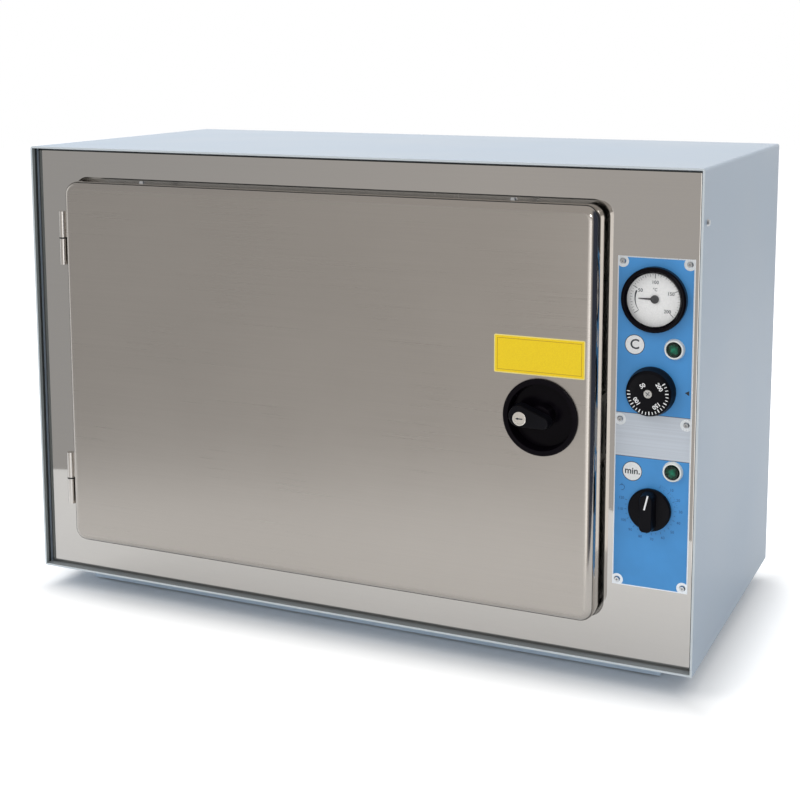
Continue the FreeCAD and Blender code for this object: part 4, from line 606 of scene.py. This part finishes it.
CASING_BLUE: Colour = (0.405, 0.495, 0.60)
LAMP_PLACES = ((0.340, 0.3265), (0.341, 0.213))
FINISHES: dict[str, Finish] = {
    "casing_paint": Paint(CASING_BLUE),
    # The casing's wrap: painted shade inside and a painted highlight on its front edges.
    "casing_skin_painted_light": CasingPaint(CASING_BLUE),
    # The base pan: a paler painted shade on the recess floor below the front panel, and the painted highlight
    # on its front edges.
    "pan_skin_painted_light": CasingPaint(CASING_BLUE, (0.30, 0.33, 0.35)),
    # Paler than the casing's own blue: painted light that stands for the light on the plinth's front.
    "plinth_paint": Paint((0.60, 0.72, 0.84), 0.4),
    "rubber": Moulding((0.025, 0.025, 0.025), 0.8, 0.00004, 700.0, shine=0.2),
    "mirror_steel": Steel((0.60, 0.58, 0.555), 0.025, 0.05, Grain.ALONG_X, 0.0000001, 0.000012, 0.008),
    "satin_steel": Steel((0.50, 0.467, 0.432), 0.26, 0.34, Grain.ALONG_X, 0.0000012, 0.0, 0.025,
                         DOOR_FRONT + 0.0001),
    "liner_steel": Steel((0.60, 0.60, 0.59), 0.16, 0.28, Grain.ALONG_Z, 0.0000015, 0.0, 0.04),
    "galvanised": Spangle((0.52, 0.54, 0.55)),
    "screw_steel": Steel((0.64, 0.66, 0.68), 0.1, 0.2, streak=0.02),
    "hinge_steel": Steel((0.66, 0.63, 0.60), 0.14, 0.24, Grain.ALONG_Z, 0.000001, 0.0, 0.03),
    "wool": Wool((0.66, 0.58, 0.34)),
    "silicone": Moulding((0.42, 0.10, 0.07), 0.55, 0.00002, 900.0, shine=0.3),
    "shelf_aluminium": Steel((0.70, 0.71, 0.72), 0.28, 0.4, Grain.ALONG_X, 0.000002),
    "heater_sheath": Steel((0.22, 0.2, 0.18), 0.4, 0.6),
    "copper": Steel((0.72, 0.40, 0.26), 0.25, 0.4),
    "black_plastic": Moulding((0.004, 0.004, 0.006), 0.4, shine=0.1),
    "black_gloss": Moulding((0.003, 0.002, 0.004), 0.2, 0.000002, 900.0, shine=0.09),
    "plate_metal": Steel((0.84, 0.89, 0.94), 0.25, 0.35, Grain.ALONG_Z, 0.000002),
    "blue_foil": ControlFoil((0.063, 0.315, 0.72), (0.60, 0.655, 0.73), (0.05, 0.08, 0.14), 0.223, 0.264),
    "white_dial": Print((0.97, 0.975, 0.975), 0.5),
    "needle": Moulding((0.055, 0.055, 0.06), 0.5),
    # Near black on the hinge washers: painted shade in the split between the knuckles.
    "washer_painted_shade": Moulding((0.02, 0.02, 0.02), 0.5),
    "glass": Glass(),
    # The chrome bezels get a pale plastic colour: a painted reflection of the white room round them.
    "lamp_chrome": Moulding((0.82, 0.85, 0.84), 0.2, 0.000002, 900.0, 0.7),
    "steel_plated": Steel((0.60, 0.60, 0.58), 0.25, 0.4),
    "key_nickel": Steel((0.93, 0.90, 0.84), 0.12, 0.22, streak=0.02),
    "white_nylon": Moulding((0.74, 0.74, 0.70), 0.5),
    # The lenses' brighter middles are painted light.
    "green_lens": LampLens((0.001, 0.014, 0.007), (0.004, 0.2, 0.11), LAMP_PLACES, 0.0072),
    # Dark print ink, and painted shade in the key's slot.
    "dark_ink_and_slot_shade": Print((0.02, 0.03, 0.045)),
    # Grey painted shade for the screws' cross recesses.
    "recess_shade_grey": Print((0.16, 0.17, 0.18)),
    "ink_blue": Print((0.018, 0.085, 0.30)),
    "ink_white": Print((0.90, 0.91, 0.92)),
    "label_yellow": Print((1.0, 0.70, 0.012), 0.3),
    "label_edge": Print((0.98, 0.82, 0.26), 0.3),
    "label_line": Print((0.52, 0.30, 0.02), 0.3),
}
OTHER_FINISH = {"casing_wrap": "casing_skin_painted_light", "base_pan": "pan_skin_painted_light", "hinge_washers": "washer_painted_shade"}


class Finishes:
    """Makes each finish once and puts it on pieces."""

    def __init__(self) -> None:
        """Start with nothing made."""
        self.made: dict[str, bpy.types.Material] = {}

    def get(self, name: str) -> bpy.types.Material:
        """Look up a finish, and make it the first time.

        Args:
            name: the finish's name.

        Returns:
            Its material.
        """
        if name not in self.made:
            self.made[name] = FINISHES[name].made(name)
        return self.made[name]

    def dress(self, node: str, name: str) -> None:
        """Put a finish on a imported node.

        Args:
            node: the node's name.
            name: the finish's name.
        """
        thing = frame["nodes"][node]
        if not thing.material_slots:
            thing.data.materials.append(None)
        for slot in thing.material_slots:
            slot.material = self.get(name)
        LOG.info("node %s has finish %s", node, name)


def settle(bm: bmesh.types.BMesh, name: str, material: bpy.types.Material, body: str) -> None:
    """Turn a bmesh into a piece that rides on a body.

    Args:
        bm: the shape, in the frame's metres; it is freed here.
        name: the piece's name.
        material: its finish.
        body: the body it rides on.
    """
    bmesh.ops.remove_doubles(bm, verts=bm.verts, dist=WELD)
    bmesh.ops.recalc_face_normals(bm, faces=bm.faces)
    mesh = bpy.data.meshes.new(name)
    bm.to_mesh(mesh)
    bm.free()
    mesh.materials.append(material)
    piece = bpy.data.objects.new(name, mesh)
    bpy.context.scene.collection.objects.link(piece)
    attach(piece, body)
    LOG.info("piece %s rides on %s", name, body)


def front_of(node: str) -> float:
    """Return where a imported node's front lies along Y, in millimetres."""
    return round(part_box(node)[0].y / MM, 3)


def middle_of(node: str) -> tuple[float, float]:
    """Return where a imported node's middle lies along X and Z, in millimetres."""
    low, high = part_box(node)
    return round((low.x + high.x) / 2 / MM, 3), round((low.z + high.z) / 2 / MM, 3)


def polar(radius: float, angle: float) -> tuple[float, float]:
    """Return X and Z of a point at a distance, its angle in degrees clockwise from the top."""
    turn = math.radians(angle)
    return radius * math.sin(turn), radius * math.cos(turn)


class Marks:
    """Printed marks on one upright face that looks towards -Y, sizes in millimetres and angles in degrees."""

    DIGIT_SHARE = 0.7
    ARC_STEP = 8
    LEAST_STEPS = 6

    def __init__(self, x: float, y: float, z: float) -> None:
        """Start on a face.

        Args:
            x: where the marks are centred.
            y: the face's own place.
            z: where the marks are centred.
        """
        self.bm = bmesh.new()
        self.spot = Matrix.Translation((x * MM, y * MM, z * MM))

    @classmethod
    def on(cls, node: str, front: Optional[str] = None) -> "Marks":
        """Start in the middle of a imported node, on its front or on another node's.

        Args:
            node: the node whose middle counts.
            front: the node whose front counts, if it is another.

        Returns:
            The empty marks.
        """
        x, z = middle_of(node)
        return cls(x, front_of(front or node), z)

    def placed(self, x: float, z: float, turn: float = 0.0) -> Matrix:
        """Return a place on the face, turned clockwise."""
        turned = Matrix.Rotation(math.radians(turn), 4, "Y")
        return self.spot @ Matrix.Translation((x * MM, 0, z * MM)) @ turned

    def slab(self, x: float, z: float, wide: float, tall: float, turn: float = 0.0) -> None:
        """Add a bar.

        Args:
            x: its middle, from the marks' centre.
            z: its middle, from the marks' centre.
            wide: its width.
            tall: its height.
            turn: how far it is turned clockwise.
        """
        place = self.placed(x, z, turn) @ Matrix.Diagonal((wide * MM, INK * 2, tall * MM, 1))
        bmesh.ops.create_cube(self.bm, size=1.0, matrix=place)

    def tick(self, angle: float, inner: float, outer: float, wide: float) -> None:
        """Add a mark that points outwards, at an angle clockwise from the top."""
        self.slab(*polar((inner + outer) / 2, angle), wide, outer - inner, angle)

    def patch(self, x: float, z: float, radius: float, sides: int = 48, turn: float = 0.0) -> None:
        """Add a thin round or many-sided patch.

        Args:
            x: its middle, from the marks' centre.
            z: its middle, from the marks' centre.
            radius: its outer radius.
            sides: how many sides it has.
            turn: how far it is turned clockwise.
        """
        place = self.placed(x, z, turn) @ TURN_UP
        bmesh.ops.create_cone(self.bm, cap_ends=True, segments=sides, radius1=radius * MM,
                              radius2=radius * MM, depth=INK * 2, matrix=place)

    def ring(self, x: float, z: float, inner: float, outer: float, start: float = 0.0,
             sweep: float = 360.0) -> None:
        """Add a thin ring, or a part of one.

        Args:
            x: its middle, from the marks' centre.
            z: its middle, from the marks' centre.
            inner: its inner radius.
            outer: its outer radius.
            start: where it starts, clockwise from the top.
            sweep: how far it goes round.
        """
        centre = self.spot @ Vector((x * MM, 0, z * MM))
        way_x, way_z = polar(1.0, start)
        way = Vector((way_x, 0, way_z))
        corners = [self.bm.verts.new(centre + way * (r * MM) + Vector((0, y, 0)))
                   for r, y in ((inner, -INK), (outer, -INK), (outer, INK), (inner, INK))]
        face = self.bm.faces.new(corners)
        steps = max(self.LEAST_STEPS, int(sweep / self.ARC_STEP))
        bmesh.ops.spin(self.bm, geom=[face, *face.edges, *corners], cent=centre, axis=(0, 1, 0),
                       angle=math.radians(sweep), steps=steps, use_merge=sweep >= 360.0)

    def word(self, text: str, x: float, z: float, tall: float, turn: float = 0.0, bold: float = 0.0) -> None:
        """Add plain lettering or a number.

        Args:
            text: what it says.
            x: its middle, from the marks' centre.
            z: its middle, from the marks' centre.
            tall: the height of its digits.
            turn: how far it is turned clockwise.
            bold: how much wider each stroke is on both sides.
        """
        curve = bpy.data.curves.new("lettering", "FONT")
        curve.body = text
        curve.size = tall * MM / self.DIGIT_SHARE
        curve.align_x = "CENTER"
        curve.align_y = "CENTER"
        curve.extrude = INK
        curve.offset = bold * MM
        curve.resolution_u = 3
        holder = bpy.data.objects.new("lettering", curve)
        bpy.context.scene.collection.objects.link(holder)
        bpy.context.view_layer.update()
        mesh = bpy.data.meshes.new_from_object(holder)
        mesh.transform(self.placed(x, z, turn) @ TURN_UP)
        self.bm.from_mesh(mesh)
        bpy.data.objects.remove(holder)
        bpy.data.curves.remove(curve)
        bpy.data.meshes.remove(mesh)


@dataclass
class ThermometerFace:
    """Scale, figures and working-range wedge behind the thermometer's glass."""

    steps: tuple[tuple[int, float], ...] = ((0, -126.0), (50, -60.5), (100, 0.0), (150, 67.8), (200, 132.0))
    tick_step: int = 5
    outer: float = 23.2
    long_tick: float = 4.2
    middle_tick: float = 2.4
    short_tick: float = 1.5
    broad_line: float = 0.5
    fine_line: float = 0.26
    figures_radius: float = 15.6
    figures_drop: float = 0.3
    figures_tall: float = 3.1
    figures_bold: float = 0.05
    unit_z: float = 8.6
    unit_tall: float = 2.7
    unit_bold: float = 0.04
    wedge_radius: float = 18.4
    wedge_sweep: float = 57.0
    wedge_start: float = 0.12
    wedge_growth: float = 0.62
    wedge_bars: int = 30
    bar_width: float = 0.9

    def angle(self, value: float) -> float:
        """Find where a temperature stands.

        Args:
            value: the temperature.

        Returns:
            Its angle, clockwise from the top.
        """
        for (low, a), (high, b) in zip(self.steps, self.steps[1:]):
            if value <= high:
                return a + (b - a) * (value - low) / (high - low)
        return self.steps[-1][1]

    def build(self, finishes: Finishes) -> None:
        """Make the printed scale.

        Args:
            finishes: where its ink comes from.
        """
        marks = Marks.on("thermometer_bezel", "thermometer_dial")
        for value in range(0, self.steps[-1][0] + 1, self.tick_step):
            large = value % 50 == 0
            length = self.long_tick if large else self.short_tick if value % 10 else self.middle_tick
            line = self.broad_line if large else self.fine_line
            marks.tick(self.angle(value), self.outer - length, self.outer, line)
        for value, angle in self.steps[1:]:
            x, z = polar(self.figures_radius, angle)
            marks.word(str(value), x, z - self.figures_drop, self.figures_tall, bold=self.figures_bold)
        marks.word("°C", 0.0, self.unit_z, self.unit_tall, bold=self.unit_bold)
        for bar in range(self.wedge_bars):
            share = bar / (self.wedge_bars - 1)
            half = self.wedge_start + self.wedge_growth * share
            marks.tick(self.steps[0][1] + self.wedge_sweep * share, self.wedge_radius - half,
                       self.wedge_radius + half, self.bar_width)
        settle(marks.bm, "thermometer_scale", finishes.get("dark_ink_and_slot_shade"), "cabinet")


@dataclass
class FoilMarks:
    """Discs, marker and minute scale printed on the control foil."""

    disc_x: float = 303.2
    celsius_z: float = 328.0
    minute_z: float = 209.2
    disc_radius: float = 9.3
    ring_width: float = 0.6
    celsius_tall: float = 9.0
    minute_tall: float = 6.0
    minute_aside: float = 0.2
    letters_bold: float = 0.16
    marker_x: float = 353.0
    marker_z: float = 287.2
    marker_radius: float = 2.7
    first_angle: float = 22.0
    step_angle: float = 11.0
    fine_angle: float = 4.4
    steps: int = 25
    fine_steps: int = 14
    step_line: float = 0.4
    fine_line: float = 0.25
    scale_inner: float = 22.6
    ten_outer: float = 24.6
    five_outer: float = 23.8
    fine_inner: float = 25.0
    fine_outer: float = 25.9
    figures_radius: float = 28.4
    figures_tall: float = 2.5
    sign_x: float = -27.0
    sign_z: float = 18.0
    sign_ring: tuple[float, float, float, float] = (2.3, 2.75, 300.0, 250.0)
    sign_bar: tuple[float, float, float] = (2.6, 0.45, 2.2)

    def build(self, finishes: Finishes) -> None:
        """Make the discs, their letters, the marker and the scale.

        Args:
            finishes: where the inks come from.
        """
        face = front_of("control_foil")
        for name, z in (("celsius", self.celsius_z), ("minute", self.minute_z)):
            white = Marks(self.disc_x, face, z)
            white.patch(0, 0, self.disc_radius)
            settle(white.bm, name + "_disc", finishes.get("ink_white"), "cabinet")
        for name, z, text, tall, aside in (("celsius", self.celsius_z, "C", self.celsius_tall, 0.0),
                                           ("minute", self.minute_z, "min.", self.minute_tall,
                                            self.minute_aside)):
            dark = Marks(self.disc_x, face - LAYER, z)
            dark.ring(0, 0, self.disc_radius - self.ring_width, self.disc_radius)
            dark.word(text, aside, aside, tall, bold=self.letters_bold)
            settle(dark.bm, name + "_letters", finishes.get("dark_ink_and_slot_shade"), "cabinet")
        marker = Marks(self.marker_x, face, self.marker_z)
        marker.patch(0, 0, self.marker_radius, 3, -90.0)
        settle(marker.bm, "thermostat_marker", finishes.get("dark_ink_and_slot_shade"), "cabinet")
        self.minutes(finishes)

    def minutes(self, finishes: Finishes) -> None:
        """Make the minute scale round the timer, and the sign for continuous running.

        Args:
            finishes: where the ink comes from.
        """
        scale = Marks.on("timer_body", "control_foil")
        for step in range(self.steps):
            angle = self.first_angle + step * self.step_angle
            tens = step % 2 == 0
            scale.tick(angle, self.scale_inner, self.ten_outer if tens else self.five_outer, self.step_line)
            if tens and step:
                scale.word(str(step * 5), *polar(self.figures_radius, angle), self.figures_tall)
        for step in range(self.fine_steps):
            angle = self.first_angle + step * self.fine_angle
            scale.tick(angle, self.fine_inner, self.fine_outer, self.fine_line)
        scale.ring(self.sign_x, self.sign_z, *self.sign_ring)
        above, wide, tall = self.sign_bar
        scale.slab(self.sign_x, self.sign_z + above, wide, tall)
        settle(scale.bm, "minute_scale", finishes.get("ink_blue"), "cabinet")


@dataclass
class ThermostatMarks:
    """White divisions and figures on the thermostat knob, and painted shade in its centre screw's cross."""

    first_angle: float = 55.0
    step_angle: float = 10.0
    divisions: int = 23
    outer: float = 19.2
    fine: tuple[float, float] = (16.6, 0.7)
    third: tuple[float, float] = (16.0, 0.95)
    figures: tuple[tuple[str, float, float], ...] = (("200", 55.0, 12.6), ("150", 141.0, 12.8),
                                                     ("100", 233.0, 12.2), ("50", 326.0, 8.6))
    figures_tall: float = 3.7
    figures_bold: float = 0.14
    cross_angles: tuple[float, float] = (35.0, 125.0)
    cross_width: float = 0.8
    cross_length: float = 5.0

    def build(self, finishes: Finishes) -> None:
        """Make the divisions, the figures and the cross of painted shade.

        Args:
            finishes: where the inks come from.
        """
        marks = Marks.on("thermostat_knob_screw")
        for step in range(self.divisions):
            inner, wide = self.fine if step % 3 else self.third
            marks.tick(self.first_angle + step * self.step_angle, inner, self.outer, wide)
        for text, angle, radius in self.figures:
            marks.word(text, *polar(radius, angle), self.figures_tall, angle, self.figures_bold)
        settle(marks.bm, "thermostat_divisions", finishes.get("ink_white"), "thermostat_dial")
        # The screw's cross recess is painted shade.
        cross = Marks.on("thermostat_knob_screw")
        for turn in self.cross_angles:
            cross.slab(0, 0, self.cross_width, self.cross_length, turn)
        settle(cross.bm, "thermostat_screw_cross", finishes.get("recess_shade_grey"), "thermostat_dial")


@dataclass
class TimerLine:
    """White pointer line on the timer knob's grip."""

    x: float = 0.5
    z: float = 11.0
    wide: float = 1.5
    long: float = 14.0
    turn: float = 13.0

    def build(self, finishes: Finishes) -> None:
        """Make the line along the grip's front.

        Args:
            finishes: where its ink comes from.
        """
        marks = Marks.on("timer_body", "timer_knob")
        marks.slab(self.x, self.z, self.wide, self.long, self.turn)
        settle(marks.bm, "timer_pointer_line", finishes.get("ink_white"), "timer_dial")


@dataclass
class DoorLabel:
    """Blank yellow label with a thin pale border, stuck on the door above the lock."""

    aside: float = -2.0
    above: float = 57.0
    wide: float = 88.0
    tall: float = 36.0
    corner: float = 1.5
    least_corner: float = 0.4
    corner_steps: int = 5
    border: float = 1.0
    line: float = 0.45
    line_inset: float = 3.2

    def spot(self, lift: float) -> Place:
        """Find where the label's middle lies.

        Args:
            lift: how far in front of the door.

        Returns:
            Its X, Y and Z in millimetres.
        """
        x, z = middle_of("latch_dish")
        return x + self.aside, front_of("door_outer_shell") - lift, z + self.above

    def sheet(self, shrink: float, lift: float) -> bmesh.types.BMesh:
        """Make a thin sheet with round corners.

        Args:
            shrink: how far its edges lie inside the label's own, in millimetres.
            lift: how far in front of the door it lies, in millimetres.

        Returns:
            The sheet as a bmesh.
        """
        bm = bmesh.new()
        size = ((self.wide - shrink * 2) * MM, INK * 2, (self.tall - shrink * 2) * MM, 1)
        place = Matrix.Translation([v * MM for v in self.spot(lift)]) @ Matrix.Diagonal(size)
        bmesh.ops.create_cube(bm, size=1.0, matrix=place)
        across = [e for e in bm.edges if abs(e.verts[0].co.y - e.verts[1].co.y) > INK]
        bmesh.ops.bevel(bm, geom=across, offset=max(self.least_corner, self.corner - shrink) * MM,
                        offset_type="OFFSET", segments=self.corner_steps, profile=0.5, affect="EDGES",
                        material=-1)
        return bm

    def build(self, finishes: Finishes) -> None:
        """Make the label's border sheet, its yellow field and its frame line.

        Args:
            finishes: where the films come from.
        """
        settle(self.sheet(0.0, 0.0), "label_border", finishes.get("label_edge"), "door")
        settle(self.sheet(self.border, LAYER), "label_field", finishes.get("label_yellow"), "door")
        frame_line = Marks(*self.spot(LAYER * 2))
        half_wide = self.wide / 2 - self.line_inset
        half_tall = self.tall / 2 - self.line_inset
        for side in (-1, 1):
            frame_line.slab(0, side * half_tall, half_wide * 2 + self.line, self.line)
            frame_line.slab(side * half_wide, 0, self.line, half_tall * 2 - self.line)
        settle(frame_line.bm, "label_frame_line", finishes.get("label_line"), "door")


@dataclass
class ScrewRecesses:
    """Painted shade in the cross recesses of the small screws and in the key's slot."""

    plate_x: tuple[float, float] = (290.7, 352.3)
    plate_z: tuple[float, float, float] = (404.2, 257.3, 103.8)
    sunk: float = 0.02
    arm_width: float = 0.45
    arm_length: float = 2.6
    first_turn: float = 20.0
    row_turn: float = 25.0
    column_turn: float = 40.0
    slot_length: float = 6.2
    slot_width: float = 1.1
    hole_x: float = -1.6
    hole_radius: float = 0.95

    def build(self, finishes: Finishes) -> None:
        """Make the recesses as thin inlays of painted shade.

        Args:
            finishes: where their inks come from.
        """
        face = front_of("control_plate_screws") + self.sunk
        for row, z in enumerate(self.plate_z):
            for column, x in enumerate(self.plate_x):
                # Each cross recess is painted shade.
                cross = Marks(x, face, z)
                turn = self.first_turn + self.row_turn * row + self.column_turn * column
                for arm in (turn, turn + 90.0):
                    cross.slab(0, 0, self.arm_width, self.arm_length, arm)
                name = "plate_screw_cross_%d_%d" % (row, column)
                settle(cross.bm, name, finishes.get("recess_shade_grey"), "cabinet")
        # The key's slot and its hole, as painted shade.
        slot = Marks.on("lock_plug")
        slot.slab(0, 0, self.slot_length, self.slot_width)
        slot.patch(self.hole_x, 0, self.hole_radius, 20)
        settle(slot.bm, "key_slot", finishes.get("dark_ink_and_slot_shade"), "key_plug")


@dataclass(frozen=True)
class Lamp:
    """A soft lamp, with its size and places in metres.

    Where shines is False metal doesn't show it, and where lights is False matt surfaces don't catch it.
    """

    name: str
    place: Place
    target: Place
    size: tuple[float, float]
    watts: float
    colour: Colour = WHITE
    shines: bool = True
    lights: bool = True

    def hang(self) -> None:
        """Hang the lamp and point it at its target."""
        data = bpy.data.lights.new(self.name, "AREA")
        data.shape = "RECTANGLE"
        data.size, data.size_y = self.size
        data.energy = self.watts
        data.color = self.colour
        thing = bpy.data.objects.new(self.name, data)
        bpy.context.scene.collection.objects.link(thing)
        way = (Vector(self.target) - Vector(self.place)).to_track_quat("-Z", "Y").to_matrix().to_4x4()
        thing.matrix_world = Matrix.Translation(self.place) @ way
        thing.visible_glossy = self.shines
        thing.visible_diffuse = self.lights


LAMPS = (
    Lamp("key", (-1.5, -2.0, 2.4), (0, 0, 0.25), (1.6, 1.6), 20.0, (1.0, 0.985, 0.96), shines=False),
    Lamp("overhead", (-0.7, 0.5, 2.6), (0, 0, 0.4), (2.4, 2.4), 30.0, (0.96, 0.98, 1.0), shines=False),
    Lamp("front_box", (1.2, -2.4, 1.25), (0.2, 0, 0.2), (0.4, 0.4), 6.0),
    Lamp("low_box", (0.75, -2.6, -0.4), (0.75, 0.0, -0.4), (1.2, 1.9), 8.5, lights=False),
)


@dataclass
class Studio:
    """Pale floor, soft lamps, the world and the camera, with places in metres and angles in degrees."""

    lens_pixels: float = 1481.2
    picture: float = 800.0
    middle_row: float = 250.0
    sensor: float = 36.0
    clip: tuple[float, float] = (0.05, 60.0)
    azimuth: float = 24.521
    elevation: float = 7.944
    roll: float = -0.111
    eye: Place = (0.6581, -1.4541, 0.5999)
    floor_colour: Colour = (0.90, 0.905, 0.91)
    floor_corners: tuple[tuple[float, float], ...] = ((0.02, -0.74), (3.4, 1.37), (5.0, 7.0), (-5.0, 7.0),
                                                      (-5.0, 0.9))
    floor_lift: float = 0.55
    mirrored_lift: float = 0.12
    mirrored_left: float = -0.6
    # Near the footprint the lift to white is held back: a painted shadow round the object's base.
    lift_start: float = -0.02
    lift_end: float = 0.045
    footprint: tuple[float, float] = (0.365, 0.176)
    ambient: float = 0.63
    room: Colour = (0.55, 0.53, 0.51)
    room_left: Colour = (0.46, 0.455, 0.45)
    dark_side: Colour = (0.05, 0.06, 0.09)
    front_fade: tuple[float, float] = (-0.05, -0.35)
    above_fade: tuple[float, float] = (0.25, 0.75)
    left_fade: tuple[float, float] = (-0.35, -0.6)
    dark_fade: tuple[float, float] = (0.5, 0.72)

    def camera(self) -> None:
        """Stand the camera where the photograph was taken from."""
        data = bpy.data.cameras.new("camera")
        data.sensor_width = self.sensor
        data.lens = self.sensor * self.lens_pixels / self.picture
        data.shift_y = -(self.picture / 2 - self.middle_row) / self.picture
        data.clip_start, data.clip_end = self.clip
        a, e, r = (math.radians(v) for v in (self.azimuth, self.elevation, self.roll))
        back = Vector((math.sin(a) * math.cos(e), -math.cos(a) * math.cos(e), math.sin(e)))
        right = Vector((math.cos(a), math.sin(a), 0))
        up = back.cross(right)
        side = right * math.cos(r) + up * math.sin(r)
        top = up * math.cos(r) - right * math.sin(r)
        thing = bpy.data.objects.new("camera", data)
        bpy.context.scene.collection.objects.link(thing)
        turned = Matrix((side, top, back)).transposed().to_4x4()
        thing.matrix_world = Matrix.Translation(self.eye) @ turned
        bpy.context.scene.camera = thing

    def floor(self) -> None:
        """Lay the pale table top, whose front edges show in the bright panel."""
        bm = bmesh.new()
        bmesh.ops.create_circle(bm, cap_ends=True, segments=len(self.floor_corners), radius=1.0)
        for vert, (x, y) in zip(bm.verts, self.floor_corners):
            vert.co = (x, y, 0)
        bmesh.ops.recalc_face_normals(bm, faces=bm.faces)
        mesh = bpy.data.meshes.new("floor")
        bm.to_mesh(mesh)
        bm.free()
        mesh.materials.append(self.floor_finish())
        thing = bpy.data.objects.new("floor", mesh)
        bpy.context.scene.collection.objects.link(thing)

    def floor_finish(self) -> bpy.types.Material:
        """Make a matt white that shows white to the camera and in metal, keeps the shadow, and paints a
        darker shadow round the object's footprint.

        Returns:
            The floor's material.
        """
        g = Graph("floor")
        fine = g.noise((260, 260, 260), 2)
        path = g.add("ShaderNodeLightPath").outputs
        x, y, _z = g.parts(g.place)
        # The lift to white fades out towards the footprint, a painted shadow round the base.
        sides = [g.sum_of("SUBTRACT", g.sum_of("ABSOLUTE", place), half)
                 for place, half in zip((x, y), self.footprint)]
        away = g.between(g.sum_of("MAXIMUM", *sides), 0.0, self.floor_lift, self.lift_start, self.lift_end)
        direct = g.sum_of("MAXIMUM", path["Is Camera Ray"], path["Is Transmission Ray"])
        lift = g.between(x, 0.0, self.mirrored_lift, self.mirrored_left, 0.0)
        mirrored = g.sum_of("MULTIPLY", path["Is Glossy Ray"], lift)
        g.drive(Base_Color=g.varied(fine, self.floor_colour, 0.985, 1.0, 0.3, 0.7),
                Emission_Strength=g.sum_of("ADD", g.sum_of("MULTIPLY", direct, away), mirrored))
        g.shader.inputs["Emission Color"].default_value = (*WHITE, 1.0)
        g.fix(Roughness=0.9, Specular_IOR_Level=0.1)
        return g.material

    def world(self) -> None:
        """Light the room evenly, show white round the object and a dim room behind the camera."""
        world = bpy.data.worlds.new("studio")
        bpy.context.scene.world = world
        world.use_nodes = True
        w = Wires(world.node_tree)
        path = w.add("ShaderNodeLightPath").outputs
        x, y, z = w.parts(w.add("ShaderNodeTexCoord").outputs["Generated"])
        unseen = w.sum_of("SUBTRACT", 1.0, path["Is Camera Ray"])
        roomy = w.sum_of("MAXIMUM", w.between(y, 0.0, 1.0, *self.front_fade),
                         w.between(z, 0.0, 1.0, *self.above_fade))
        room = w.mixed(w.between(x, 0.0, 1.0, *self.left_fade), self.room, self.room_left)
        lit = w.mixed(w.sum_of("MULTIPLY", roomy, unseen), WHITE, room)
        shadow = w.sum_of("MULTIPLY", w.between(x, 0.0, 1.0, *self.dark_fade), unseen)
        seen = w.add("ShaderNodeBackground")
        w.join(w.mixed(shadow, lit, self.dark_side), seen.inputs["Color"])
        plain = w.add("ShaderNodeBackground")
        w.feed(plain.inputs["Color"], WHITE)
        w.feed(plain.inputs["Strength"], self.ambient)
        direct = w.sum_of("MAXIMUM", w.sum_of("MAXIMUM", path["Is Camera Ray"], path["Is Glossy Ray"]),
                          path["Is Transmission Ray"])
        mix = w.add("ShaderNodeMixShader")
        out = w.add("ShaderNodeOutputWorld")
        for end, value in zip(mix.inputs, (direct, plain.outputs[0], seen.outputs[0])):
            w.join(value, end)
        w.join(mix.outputs[0], out.inputs["Surface"])

    def build(self) -> None:
        """Set up the camera, floor, lamps and world."""
        self.camera()
        self.floor()
        self.world()
        for lamp in LAMPS:
            lamp.hang()
        bpy.context.scene.view_settings.view_transform = "Standard"
        LOG.info("studio is set")


def slot_of_node(name: str) -> str:
    """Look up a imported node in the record.

    Args:
        name: the node's name.

    Returns:
        The record's material slot of that node.

    Raises:
        KeyError: if the record has no such node.
    """
    for part in frame["record"]["subparts"]:
        if part.get("node") == name:
            return part["material_slot"]
    raise KeyError(name)


def main() -> None:
    """Build the studio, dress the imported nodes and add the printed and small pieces."""
    logging.basicConfig(level=logging.INFO, format="%(message)s")
    finishes = Finishes()
    Studio().build()
    for node in frame["nodes"]:
        finishes.dress(node, OTHER_FINISH.get(node, slot_of_node(node)))
    for part in (ThermometerFace, FoilMarks, ThermostatMarks, TimerLine, DoorLabel, ScrewRecesses):
        part().build(finishes)


if __name__ == "__main__":
    main()
